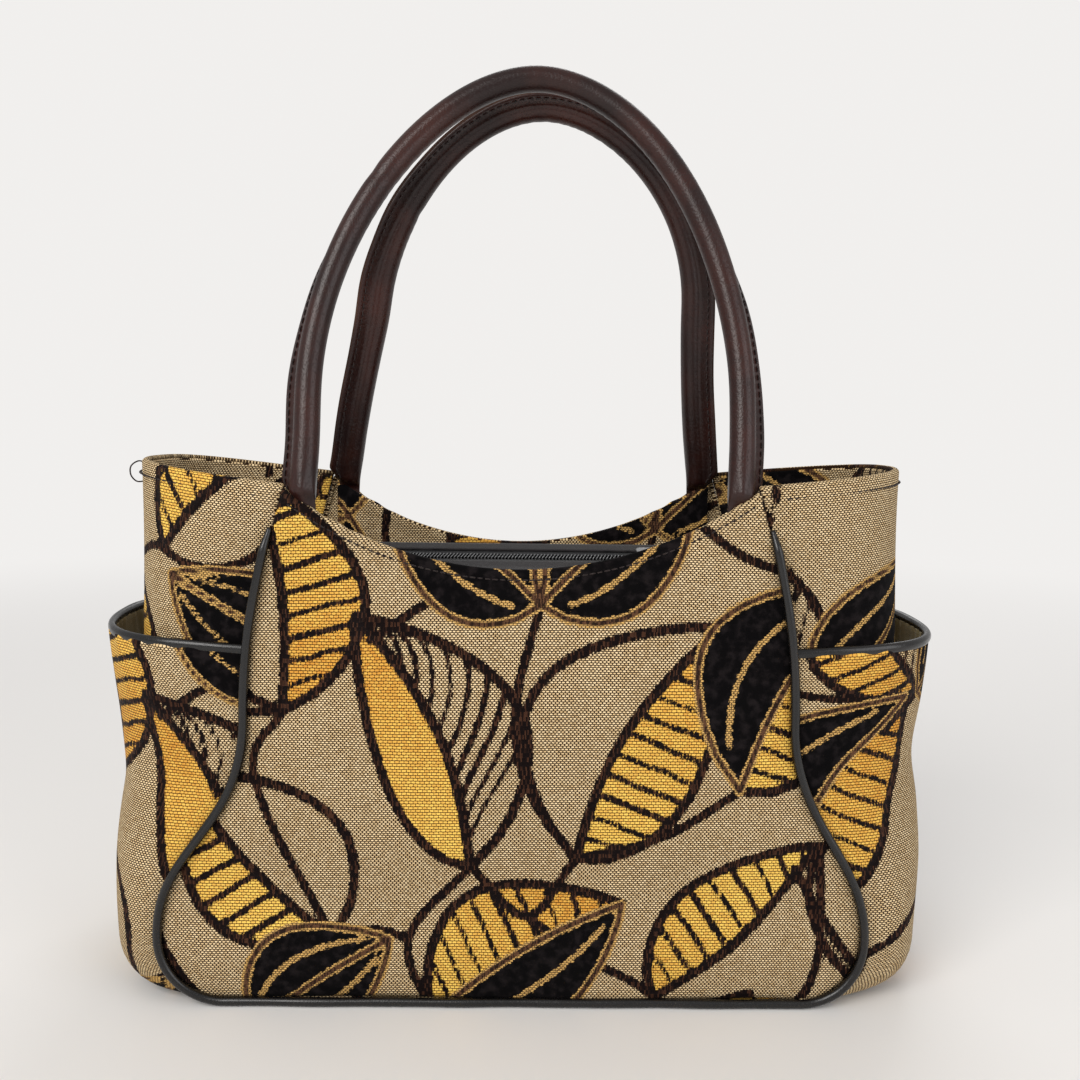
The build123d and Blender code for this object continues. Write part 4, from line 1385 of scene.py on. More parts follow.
class Side(Enum):
    """Side of the bag that a piece is on. Its value shifts the folds of the cloth there."""

    FRONT = 0.7
    BACK = 2.1
    RIGHT = 0.4
    LEFT = 1.9

    @property
    def behind(self) -> bool:
        """Whether pieces there are made for the front or right and turned half round."""
        return self in (Side.BACK, Side.LEFT)

    @property
    def outward(self) -> Point3:
        """Direction that a panel there faces."""
        return (0.0, 1.0 if self.behind else -1.0, 0.0)

    def node(self, kind: str) -> str:
        """Name of the node of a kind on this side."""
        return f"{self.name.lower()}_{kind}"


# Pieces of the bag


@dataclass(frozen=True)
class Maker:
    """What every maker of pieces works with.

    Args:
        form: The bag's shape.
        soft: Its slack.
        wardrobe: The materials.
        design: Drawing of the cloth.
    """

    form: BagForm
    soft: Softness
    wardrobe: Wardrobe
    design: ClothDesign

    def turned(self, points: Array, side: Side) -> Array:
        """Points brought to their side of the bag and made soft."""
        return self.soft.apply(points * HALF_TURN if side.behind else points)

    def sew(self, node: str, points: Array, across: Array, up: Array, thickness: float, shift: Point = (0.0, 0.0),
            slot: str = "tapestry", edge_steps: int = 4) -> None:
        """Make the cloth sheet that stands for a node. Tapestry has the design on it.

        Args:
            node: The node.
            points: Grid of points on the sheet's outer face.
            across: Place across on the cloth of each point.
            up: Place up it.
            thickness: The sheet's thickness.
            shift: Place of the cloth that it is cut from.
            slot: Its material.
            edge_steps: Steps round its edge.
        """
        cloth = np.stack(np.broadcast_arrays(across + shift[0], up + shift[1]), axis=-1)
        design = self.design if slot == "tapestry" else None
        piece = cloth_sheet(node + "_cloth", points, cloth, thickness, edge_steps, design)
        self.wardrobe.dress(piece, slot, node)


@dataclass(frozen=True)
class Body(Maker):
    """Panels, end walls, pockets, base, facings and linings.

    Args:
        rows: Rows of a panel's grid.
        columns: Columns between a panel's edges.
        roll: Radius of the rolled rim.
        roll_turn: How far the rim rolls, in degrees.
        roll_rows: Rows round the roll.
        pinch: How far a panel turns in at its seams.
        edge: Width of the strip that turns in.
        stitch_drop: Depth of the topstitching below the rim.
        rim_room: Distance from the rim down to the facings.
        pocket_seed: What shifts a pocket's folds against its gusset's.
    """

    rows: int = 140
    columns: int = 161
    roll: float = 0.0018
    roll_turn: float = 115.0
    roll_rows: int = 6
    pinch: float = 0.0022
    edge: float = 0.0030
    stitch_drop: float = 0.0042
    rim_room: float = 0.0008
    pocket_seed: float = 0.7

    def relief(self, x: Array, z: Array, depth: Array, seed: float) -> Array:
        """Outward height of a panel's own folds.

        Args:
            x: Place across, to the panel's right.
            z: Height.
            depth: Distance below the rim.
            seed: Shift that makes the two panels differ.

        Returns:
            Heights in metres.
        """
        broad = 0.0012 * np.sin(x / 0.029 + seed) * np.sin(z / 0.037 + 2.0 * seed)
        drag = 0.0010 * np.sin((x * 0.8 + z) / 0.013 + seed) * smooth((z - 0.09) / 0.08)
        drag = drag * hump(np.abs(x), 0.072, 0.022)
        pucker = 0.0007 * np.sin(x / 0.0017 + seed) * np.exp(-depth / 0.012) * hump(np.abs(x), 0.080, 0.016)
        groove = -0.00035 * hump(depth, self.stitch_drop, 0.0011)
        settle = 0.0016 * hump(z, 0.022, 0.014) - 0.0010 * hump(z, 0.052, 0.016)
        inner = smooth((self.form.half_width(z) - np.abs(x)) / 0.022)
        return (broad + drag + settle) * inner * smooth(depth / 0.01) + pucker + groove

    def panel_points(self, offset: float, inset: float, drop: float, seed: float, finer: bool) -> Array:
        """Grid of a front panel or its lining.

        Args:
            offset: Depth under the panel's outer face.
            inset: Distance inside the seams.
            drop: Distance below the rim.
            seed: Shift of its folds.
            finer: Whether it is an outer panel, with turned-in edges and close rows.

        Returns:
            Rows upwards, and columns to the right.
        """
        form = self.form
        rows, columns = (self.rows, self.columns) if finer else (self.rows // 2, self.columns // 2)
        line = form.seam_line(inset)[::-1]
        places = arc_lengths(line, axis=0)
        wanted = np.linspace(0.0, places[-1], rows)
        side_x, side_z = (np.interp(wanted, places, values)[:, None] for values in line.T)
        edge_steps = np.array([0.0, 0.0006, 0.0013, 0.0021, 0.0030]) / form.waist_half
        inner = 1.0 - 0.0042 / form.waist_half
        share = np.concatenate([edge_steps - 1.0, np.linspace(-inner, inner, columns), (1.0 - edge_steps)[::-1]])
        x = share * side_x
        bottom, rim = line[0, 1], form.rim(x)
        z = bottom + (side_z - bottom) / (form.rim_height - bottom) * (rim - drop - bottom)
        reach = form.panel_reach(x, z) - offset + self.relief(x, z, rim - z, seed)
        if finer:
            gap = np.minimum((1.0 - np.abs(share)) * side_x, z - bottom)
            flat = np.sqrt(np.maximum(1.0 - (1.0 - np.minimum(gap / self.edge, 1.0)) ** 2, 0.0))
            reach = reach - self.pinch * (1.0 - flat)
        return np.stack([x, -reach, z], axis=-1)

    def rolled(self, points: Array) -> Array:
        """Grid with its top edge rolled in."""
        return curl_top(points, self.roll, self.roll_turn, self.roll_rows)

    def panel(self, side: Side, shift: Point) -> None:
        """Front or back panel with its rolled rim.

        Args:
            side: Where it is.
            shift: Place of the cloth that it is cut from.
        """
        flat = self.panel_points(0.0, self.form.seam_gap, self.roll, side.value, True)
        placed = self.rolled(self.turned(flat, side))
        upward = arc_lengths(placed, axis=0)
        roll = upward[-self.roll_rows:] - upward[-self.roll_rows - 1]
        across = np.vstack([flat[..., 0]] + [flat[-1:, :, 0]] * self.roll_rows)
        up = np.vstack([flat[..., 2], flat[-1, :, 2] + roll])
        self.sew(side.node("panel"), placed, across, up, self.form.tapestry, shift)

    def panel_lining(self, side: Side) -> None:
        """Black lining behind a panel."""
        form = self.form
        flat = self.panel_points(form.layer + 0.0004, 0.003, form.facing_depth, side.value, False)
        ripple = 0.0006 * np.sin(flat[..., 0] / 0.011 + 3.0 * side.value) * np.sin(flat[..., 2] / 0.045)
        flat[..., 1] += 0.0006 + ripple
        self.sew(side.node("lining"), self.turned(flat, side), flat[..., 0], flat[..., 2], form.lining,
                 slot="black_cloth", edge_steps=2)

    def facing(self, side: Side, shift: Point) -> None:
        """Tapestry band inside the front or back rim, bulged round the handles' feet.

        Args:
            side: Where it is.
            shift: Place of the cloth that it is cut from.
        """
        form = self.form
        depth = np.linspace(form.facing_depth, self.rim_room, 26)[:, None]
        x = np.linspace(1.0, -1.0, 97) * (form.rim_half - 0.0032) + 0.0 * depth
        z = form.rim(x) - depth
        beside = smooth(2.3 - 2.3 * np.abs(np.abs(x) - Handle.spacing / 2) / 0.013)
        away = form.layer + form.facing + 0.00215 * beside * smooth((0.030 - depth) / 0.006)
        reach = form.panel_reach(x, z) + self.relief(x, z, depth, side.value) - away
        placed = self.turned(np.stack([x, -reach, z], axis=-1), side)
        self.sew(side.node("facing"), placed, -x, z, form.facing, shift)

    def wall_relief(self, points: Array, gather: float, depth: Array, seed: float) -> Array:
        """End wall's grid moved along its normals by its folds.

        Args:
            points: The grid.
            gather: Height of the puckers at its top edge.
            depth: Distance below the top edge at each point.
            seed: Shift of its folds.

        Returns:
            The moved grid.
        """
        around = arc_lengths(points, axis=1)
        share = around / around[:, -1:]
        held = smooth(share / 0.10) * smooth((1.0 - share) / 0.10)
        z = points[..., 2]
        foot = smooth((z - 0.004) / 0.02)
        broad = 0.0010 * np.sin(around / 0.021 + seed) * np.sin(z / 0.027 + 1.7 * seed)
        creases = 0.0008 * np.sin((around + 0.6 * z) / 0.0085 + seed) * hump(z, 0.098, 0.020)
        pucker = gather * np.sin(around / 0.0021 + seed) * np.exp(-depth / 0.010)
        amount = (broad * foot + creases * (gather > 0) + pucker) * held
        return points + grid_normals(points) * amount[..., None]

    def wall(self, side: Side, layer: Layer, shift: Point) -> None:
        """Gusset or pocket wall.

        Args:
            side: Where it is.
            layer: Which wall it is.
            shift: Place of the cloth that it is cut from.
        """
        pocket = layer is Layer.POCKET
        points = EndWall(self.form, layer).grid(0.0)
        middle = points.shape[1] // 2
        depth = arc_lengths(points[::-1], axis=0)[::-1]
        around = arc_lengths(points, axis=1)
        across = around - around[:, -1:] / 2
        up = depth[0, middle] - depth[:, middle:middle + 1] + 0.0 * across
        gather, seed = (0.0005, side.value + self.pocket_seed) if pocket else (0.0, side.value)
        placed = self.turned(self.wall_relief(points, gather, depth, seed), side)
        if not pocket:
            placed = self.rolled(placed)
            across = np.vstack([across] + [across[-1:]] * self.roll_rows)
            up = np.vstack([up, up[-1:] + 0.0007 * np.arange(1, self.roll_rows + 1)[:, None]])
        self.sew(side.node(layer.value), placed, across, up, self.form.tapestry, shift)

    def wall_facing(self, side: Side, shift: Point) -> None:
        """Tapestry band inside a gusset's rim, seen from inside the bag.

        Args:
            side: Where it is.
            shift: Place of the cloth that it is cut from.
        """
        form = self.form
        low, high = (1.0 - drop / form.upright for drop in (form.facing_depth, self.rim_room))
        base = EndWall(form, Layer.GUSSET, rows=24).grid(form.layer + form.facing, low, high)
        around = arc_lengths(base, axis=1)[:, ::-1]
        self.sew(side.node("facing"), self.turned(base, side)[:, ::-1], around, base[:, ::-1, 2], form.facing, shift)

    def line_wall(self, node: str, placed: Array, lift: Array, slot: str) -> None:
        """Lining of an end wall, lifted off its grid.

        Args:
            node: Node that it stands for.
            placed: The grid.
            lift: How far each point is lifted.
            slot: The lining's material.
        """
        around = arc_lengths(placed, axis=1)
        placed = placed + grid_normals(placed) * lift[..., None]
        self.sew(node, placed, around, arc_lengths(placed, axis=0), self.form.lining, slot=slot, edge_steps=2)

    def wall_lining(self, side: Side) -> None:
        """Black lining inside a gusset, seen from inside the bag."""
        form = self.form
        wall = EndWall(form, Layer.GUSSET, rows=50, turn_rows=10, columns=61)
        base = wall.grid(form.layer + 0.0012, 0.0, 1.0 - (form.facing_depth - 0.002) / form.upright)
        placed = self.turned(base, side)[:, ::-1]
        ripple = np.sin(arc_lengths(placed, axis=1) / 0.009 + side.value) * np.sin(placed[..., 2] / 0.03)
        self.line_wall(side.node("lining"), placed, 0.0004 + 0.0004 * ripple, "black_cloth")

    def pocket_lining(self, side: Side) -> None:
        """Gathered lining inside a pocket, seen from the pocket's inside."""
        form = self.form
        wall = EndWall(form, Layer.POCKET, rows=44, turn_rows=8, columns=151)
        placed = self.turned(wall.grid(form.tapestry + 0.0008), side)[:, ::-1]
        around = arc_lengths(placed, axis=1)
        share = around / around[:, -1:]
        held = smooth(share / 0.08) * smooth((1.0 - share) / 0.08)
        depth = form.pocket_top - placed[..., 2]
        gather = 0.5 + 0.5 * np.sin(around / 0.0011 + 0.9 * np.sin(around / 0.006 + side.value))
        slack = 0.0009 * gather * np.exp(-np.maximum(depth, 0.0) / 0.030) * held
        self.line_wall(side.node("pocket_lining"), placed, slack, "pocket_cloth")

    def base(self) -> None:
        """Tapestry base, the lining over the board, and the board itself."""
        form = self.form
        half, deep = form.base_seam_half - form.seam_gap, form.half_depth
        x, y = np.meshgrid(np.linspace(half, -half, 101), np.linspace(-deep, deep, 49))
        self.sew("base_panel", np.stack([x, y, 0.0 * x], axis=-1), x, y, form.tapestry, (0.0, 0.12))
        low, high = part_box("base_lining")
        x, y = np.meshgrid(np.linspace(low.x, high.x, 101), np.linspace(low.y, high.y, 49))
        ripple = 0.0003 * np.sin(x / 0.017) * np.sin(y / 0.013 + 0.7) + 0.0003
        self.sew("base_lining", np.stack([x, y, high.z + ripple], axis=-1), x, y, form.lining,
                 slot="black_cloth", edge_steps=2)
        self.wardrobe.paint_node("base_board", "board")

    def build(self) -> None:
        """Make every cloth piece."""
        self.panel(Side.FRONT, (0.0, 0.0))
        self.panel(Side.BACK, (0.14, 0.11))
        self.wall(Side.RIGHT, Layer.GUSSET, (0.245, 0.02))
        self.wall(Side.LEFT, Layer.GUSSET, (-0.115, 0.0))
        self.wall(Side.RIGHT, Layer.POCKET, (0.205, 0.005))
        self.wall(Side.LEFT, Layer.POCKET, (-0.130, -0.012))
        self.facing(Side.FRONT, (0.10, 0.02))
        self.facing(Side.BACK, (-0.06, -0.02))
        self.wall_facing(Side.RIGHT, (0.03, 0.01))
        self.wall_facing(Side.LEFT, (0.11, 0.04))
        for side in (Side.FRONT, Side.BACK):
            self.panel_lining(side)
        for side in (Side.RIGHT, Side.LEFT):
            self.wall_lining(side)
            self.pocket_lining(side)
        self.base()


@dataclass(frozen=True)
class Trim(Maker):
    """Piping along the panels' seams and binding round the pockets' mouths.

    Args:
        piping_radius: Radius of the piping.
        piping_stand: How far the piping's middle stands in front of a panel's seam.
        top_drop: How far below the rim the piping comes out of the seam.
        dive: Length over which it comes out.
        binding_half: Half of the binding's thickness.
        binding_depth: Half of its height.
        spacing: Distance between rings.
        sides: Points on each ring.
    """

    piping_radius: float = 0.0019
    piping_stand: float = 0.0018
    top_drop: float = 0.015
    dive: float = 0.010
    binding_half: float = 0.00175
    binding_depth: float = 0.0023
    spacing: float = 0.0016
    sides: int = 20

    def trim(self, node: str, rings: Array, places: Array) -> None:
        """Leather trim that stands for a node."""
        self.wardrobe.dress(tube_object(node + "_trim", rings, places), "trim_leather", node)

    def piping(self, side: Side, seed: float) -> None:
        """Piping round one panel, coming out of the seam below each rim corner.

        Args:
            side: The panel's side.
            seed: Shift of its unevenness.
        """
        form = self.form
        line = form.seam_line(-0.0001)
        line = line[line[:, 1] < form.rim_height - self.top_drop]
        right = np.column_stack([line[:, 0], np.full(len(line), -form.half_depth - self.piping_stand), line[:, 1]])
        path = even_path(np.vstack([right, (right * [-1.0, 1.0, 1.0])[::-1]]), self.spacing)
        places = arc_lengths(path, axis=0)
        sunk = 1.0 - smooth(np.minimum(places, places[-1] - places) / self.dive)
        path[:, 1] += 0.0030 * sunk + 0.00018 * np.sin(places / 0.009 + seed) * (1 - sunk)
        radius = self.piping_radius * (1.0 - 0.45 * sunk) * (1.0 + 0.03 * np.sin(places / 0.0053 + seed))
        path = self.turned(path, side)
        path[:, 2] = np.maximum(path[:, 2], self.piping_radius + 0.0002)
        self.trim(side.node("piping"), ring_points(path, side.outward, radius, radius, self.sides), places)

    def binding(self, side: Side, seed: float) -> None:
        """Binding folded over a pocket's mouth.

        Args:
            side: The pocket's side.
            seed: Shift of its unevenness.
        """
        path = even_path(EndWall(self.form, Layer.POCKET, columns=161).grid(0.0013)[-1], self.spacing)
        places = arc_lengths(path, axis=0)
        path[:, 2] += self.binding_depth * 0.45 + 0.0005 * np.sin(places / 0.017 + seed)
        wide = self.binding_half * (1.0 + 0.04 * np.sin(places / 0.0041 + seed))
        rings = ring_points(self.turned(path, side), UPWARD, wide, self.binding_depth, self.sides)
        self.trim(side.node("pocket_binding"), rings, places)

    def build(self) -> None:
        """Make all piping and binding."""
        self.piping(Side.FRONT, 0.3)
        self.piping(Side.BACK, 1.7)
        self.binding(Side.RIGHT, 0.5)
        self.binding(Side.LEFT, 2.4)


@dataclass(frozen=True)
class Handle(Maker):
    """A rolled leather handle over its cord, with a stitched flange along one side.

    Args:
        name: Node of the cover.
        front: Whether it is the front handle.
        seed: Shift of its unevenness.
        apex: How far the top of the arch lies to the right.
        left_lean: How far the left leg leans in at the end of its straight run.
        right_lean: How far the right leg leans in there.
        straight_top: Height at which the arch begins.
        pressed: Share of its thickness that a foot loses inside the rim.
    """

    name: str
    front: bool
    seed: float
    apex: float = 0.004
    left_lean: float = 0.0
    right_lean: float = 0.0
    straight_top: float = 0.258
    spacing: float = 0.1794
    radius: float = 0.0054
    core_radius: float = 0.0041
    top_height: float = 0.392
    top_gap: float = 0.043
    squareness: float = 1.84
    flange_reach: float = 0.0075
    flange_half: float = 0.0013
    wall_room: float = 0.0019
    leg_turn: float = 42.0
    top_turn: float = 74.0
    spacing_along: float = 0.0013
    ease: int = 21
    sink: float = 0.012
    pressed: float = 0.78

    @property
    def root(self) -> float:
        """Height of the rim where the legs leave it."""
        return float(self.form.rim(np.array(self.spacing / 2)))

    def wall_reach(self, x: Array, z: Array) -> Array:
        """Distance of a leg from the middle plane where it lies against the panel."""
        return self.form.panel_reach(x, z) - self.form.tapestry - self.wall_room

    def path(self) -> Array:
        """Middle line of the handle from the left root over the top to the right root."""
        half, root = self.spacing / 2, self.root
        turn = np.linspace(0.0, math.pi, 241)
        power = 2.0 / self.squareness
        arch_half = half - (self.left_lean + self.right_lean) / 2
        middle = (self.left_lean - self.right_lean) / 2
        x = middle - arch_half * np.sign(np.cos(turn)) * np.abs(np.cos(turn)) ** power
        z = self.straight_top + (self.top_height - self.straight_top) * np.sin(turn) ** power
        leg = np.linspace(root - self.sink, self.straight_top, 40)[:-1]
        leaned = np.maximum(leg - root, 0.0) / (self.straight_top - root)
        x = np.concatenate([self.left_lean * leaned - half, x, half - self.right_lean * leaned[::-1]])
        z = np.concatenate([leg, z, leg[::-1]])
        x, z = eased(even_path(np.column_stack([x, z]), self.spacing_along), self.ease).T
        share = (z - root) / (self.top_height - root)
        x = x + self.apex * smooth(share) + 0.0008 * np.sin(z / 0.030 + self.seed) * smooth(share * 6)
        free = mix(float(self.wall_reach(np.array(half), np.array(root))), self.top_gap / 2, share)
        reach = np.where(share < 0, self.wall_reach(x, z), free)
        points = np.stack([x, -reach if self.front else reach, z], axis=1)
        sewn = smooth(-share / 0.02)[:, None]
        return even_path(mix(points, self.soft.apply(points), sewn), self.spacing_along)

    def profile(self) -> tuple[Array, Array]:
        """Outline across the cover, with the flange along its first axis, and the bore's outline."""
        start = math.radians(22.0)
        round_part = np.linspace(start, 2 * math.pi - start, 30)
        ring = self.radius * np.stack([np.cos(round_part), np.sin(round_part)], axis=1)
        near, tip = self.radius, self.radius + self.flange_reach
        side = np.array([(near + 0.0004, 1.25), (near + 0.0014, 1.0), (near + 0.0036, 1.0), (tip - 0.0014, 1.0),
                         (tip - 0.0004, 0.94), (tip, 0.55)])
        below, above = side * [1.0, -self.flange_half], side * [1.0, self.flange_half]
        outline = np.vstack([ring, below, [(tip - 0.0005, 0.0)], above[::-1]])
        turn = np.linspace(start, 2 * math.pi + start, len(outline), endpoint=False)
        bore = (self.core_radius + 0.00025) * np.stack([np.cos(turn), np.sin(turn)], axis=1)
        return outline, bore

    def axes(self, path: Array) -> tuple[Array, Array]:
        """Direction of the flange, and across it and the handle, at each point of the path."""
        inward = np.array([0.0, 1.0 if self.front else -1.0, 0.0])
        tangent = unit(np.gradient(path, axis=0))
        outward = unit(np.cross([0.0, 1.0, 0.0], tangent))
        outward = np.where((outward * (path - [0.0, 0.0, self.straight_top])).sum(1)[:, None] < 0, -outward, outward)
        across = unit(inward - tangent * (tangent @ inward)[:, None])
        arch = smooth((path[:, 2] - self.straight_top) / (self.top_height - self.straight_top))
        sway = 4.0 * np.sin(path[:, 2] / 0.045 + self.seed)
        turn = np.radians(mix(self.leg_turn, self.top_turn, arch) + sway)[:, None]
        flange = unit(np.cos(turn) * outward + np.sin(turn) * across)
        return flange, np.cross(tangent, flange)

    def placed(self, path: Array, along_flange: Array, across: Array) -> Array:
        """Rings round the path, pressed flat where it runs inside the rim.

        Args:
            path: The path.
            along_flange: Place of each point of each ring along the flange's direction.
            across: Its place across that.

        Returns:
            One ring for each point of the path.
        """
        flange, over = self.axes(path)
        rings = path[:, None] + along_flange[..., None] * flange[:, None] + across[..., None] * over[:, None]
        flat = 1.0 - smooth((path[:, 2:3] - self.root + 0.001) / 0.005)
        rings[..., 1] = mix(path[:, 1:2], rings[..., 1], 1.0 - self.pressed * flat)
        return rings

    def rings(self, path: Array, outline: Array, wear: float) -> Array:
        """Outline placed at each point of the path.

        Args:
            path: The path.
            outline: Points across the cover.
            wear: How strongly folds and wrinkles show.

        Returns:
            One ring for each point of the path.
        """
        places, z, seed = arc_lengths(path, axis=0)[:, None], path[:, 2:3], self.seed
        reach, side = outline[None, :, 0], outline[None, :, 1]
        reach = mix(reach, np.minimum(reach, self.radius), 1.0 - smooth((z - self.root - 0.001) / 0.009))
        distance = np.hypot(reach, side)
        angle = np.arctan2(side, reach)
        on_flange = smooth((distance - self.radius - 0.0004) / 0.004)
        bend = smooth((z - 0.30) / 0.05)
        fine = np.sin(places / 0.00085 + 2.0 * np.sin(places / 0.006 + seed) + 2.5 * angle)
        wrinkle = 0.00007 * fine * (0.15 + bend) * np.abs(np.cos(angle / 2 + seed)) ** 3
        wrinkle = wrinkle * smooth(0.5 + 0.8 * np.sin(places / 0.021 + seed))
        dent = -0.00035 * hump(places, 0.33 * places[-1], 0.0035) * (1 + np.cos(angle - 2.4)) / 2
        swell = 0.00010 * np.sin(places / 0.023 + seed)
        scallop = 0.00022 * np.sin(places / 0.0061 + seed) * on_flange * bend
        flare = 0.00030 * np.sin(places / 0.0083 + 2 * seed) * on_flange
        gather = 0.00030 * np.sin(angle * 6.0 + seed) * hump(z, self.root + 0.004, 0.006)
        scale = 1.0 + wear * (wrinkle + dent + swell + scallop + gather) / np.maximum(distance, 1e-6)
        return self.placed(path, reach * scale, side * scale + wear * flare)

    def cover(self) -> None:
        """Leather cover with its flange, whose cut edge shows the raw leather."""
        path = self.path()
        outline, bore = self.profile()
        rings, inner = self.rings(path, outline, 1.0), self.rings(path, bore, 0.0)
        piece = tube_object(self.name + "_cover", rings, arc_lengths(path, axis=0), inner)
        for finish in ("handle_leather", "raw_edge"):
            piece.data.materials.append(self.wardrobe.materials[finish])
        around = len(outline)
        for face in piece.data.polygons:
            met = {corner % around for corner in face.vertices if corner < len(path) * around}
            if len(met) == 2 and met <= CUT_EDGE:
                face.material_index = 1
        self.wardrobe.dress(piece, "handle_leather", self.name)

    def core(self) -> None:
        """Cord of three twisted strands inside the cover."""
        path = self.path()
        places = arc_lengths(path, axis=0)
        turn = np.linspace(0.0, 2 * math.pi, 24, endpoint=False)[None, :]
        swell = self.core_radius * (0.90 + 0.08 * np.abs(np.cos(1.5 * (turn + places[:, None] / 0.0035))))
        rings = self.placed(path, swell * np.cos(turn), swell * np.sin(turn))
        self.wardrobe.dress(tube_object(self.name + "_core_cord", rings, places), "cord_filler", self.name + "_core")

    def stitch_line(self, side: int) -> tuple[Array, Array]:
        """Path of the stitches on one face of the flange, with the face's direction."""
        path = self.path()
        kept = path[:, 2] > self.root + 0.004
        place = np.array([[self.radius + self.flange_reach - 0.0026, side * (self.flange_half + 0.00008)]])
        return self.rings(path, place, 1.0)[kept, 0], (side * self.axes(path)[1])[kept]


# Stitches and zip teeth, repeated along paths by a node tree


class Repeater:
    """Node tree that repeats a small item along a path."""

    def __init__(self) -> None:
        """Build the tree and note its inputs."""
        self.tree = bpy.data.node_groups.new("repeat_along_path", "GeometryNodeTree")
        sockets = [("Path", "NodeSocketGeometry"), ("Spacing", FLOAT), ("Item", "NodeSocketObject"),
                   ("Unevenness", FLOAT), ("Seed", "NodeSocketInt"), ("Material", "NodeSocketMaterial")]
        self.keys = {
            label: self.tree.interface.new_socket(name=label, in_out="INPUT", socket_type=kind).identifier
            for label, kind in sockets
        }
        self.tree.interface.new_socket(name="Pieces", in_out="OUTPUT", socket_type="NodeSocketGeometry")
        net = Graph(self.tree)
        start = net.add("NodeGroupInput").outputs
        facing = net.add("GeometryNodeInputNamedAttribute", {"Name": "facing"}, data_type="FLOAT_VECTOR")
        curve = net.add("GeometryNodeMeshToCurve", {"Mesh": start["Path"]}).outputs[0]
        even = net.add("GeometryNodeResampleCurve", {"Curve": curve, "Length": start["Spacing"]}, mode="LENGTH")
        along = net.add("GeometryNodeInputTangent").outputs[0]
        turn = net.add("FunctionNodeAxesToRotation", {0: along, 1: facing.outputs[0]},
                         primary_axis="X", secondary_axis="Z").outputs[0]
        item = net.add("GeometryNodeObjectInfo", {"Object": start["Item"]}).outputs["Geometry"]
        low, high = net.minus(1.0, start["Unevenness"]), net.plus(1.0, start["Unevenness"])
        size = net.add("FunctionNodeRandomValue", {2: low, 3: high, "Seed": start["Seed"]}, data_type="FLOAT")
        placed = net.add("GeometryNodeInstanceOnPoints",
                           {"Points": even.outputs[0], "Instance": item, "Rotation": turn, "Scale": size.outputs[1]})
        real = net.add("GeometryNodeRealizeInstances", {"Geometry": placed.outputs[0]})
        painted = net.add("GeometryNodeSetMaterial", {"Geometry": real.outputs[0], "Material": start["Material"]})
        net.add("NodeGroupOutput", {0: painted.outputs[0]})

    def along(self, name: str, runs: Sequence[tuple[Array, Array]], item: Thing, spacing: float,
              material: bpy.types.Material, unevenness: float = 0.08, seed: int = 3) -> Thing:
        """Repeat an item along several paths and return one plain mesh.

        Args:
            name: The new piece's name.
            runs: Points of each path, with the direction that the item's top faces at each.
            item: What is repeated, with its length along X and its top along Z.
            spacing: Distance between copies.
            material: Material of the copies.
            unevenness: How much their size varies.
            seed: Seed of that variation.

        Returns:
            The piece.
        """
        points, facings = (np.vstack(rows) for rows in zip(*runs))
        edges, start = [], 0
        for run, _ in runs:
            edges += [(start + step, start + step + 1) for step in range(len(run) - 1)]
            start += len(run)
        mesh = bpy.data.meshes.new(name + "_path")
        mesh.from_pydata(points.tolist(), edges, [])
        facing = mesh.attributes.new("facing", "FLOAT_VECTOR", "POINT")
        facing.data.foreach_set("vector", facings.astype(np.float32).ravel())
        holder = linked(name + "_path", mesh)
        modifier = holder.modifiers.new("repeat", "NODES")
        modifier.node_group = self.tree
        values = {"Spacing": spacing, "Item": item, "Unevenness": unevenness, "Seed": seed, "Material": material}
        for label, value in values.items():
            modifier[self.keys[label]] = value
        depsgraph = bpy.context.evaluated_depsgraph_get()
        made = bpy.data.meshes.new_from_object(holder.evaluated_get(depsgraph), depsgraph=depsgraph)
        made.name = name
        for attribute in [a for a in made.attributes if a.name == "facing"]:
            made.attributes.remove(attribute)
        bpy.data.objects.remove(holder)
        made.shade_smooth()
        return linked(name, made)


def bent_wire(name: str, path: Array, radius: float) -> Thing:
    """Small item of bent wire or thread, which isn't part of the object until it is repeated.

    Args:
        name: Its name.
        path: Points that it follows.
        radius: Its radius.

    Returns:
        The item.
    """
    piece = tube_object(name, ring_points(path, (0.31, 0.17, 0.94), radius, radius, 6), arc_lengths(path, axis=0))
    piece.hide_render = True
    return piece


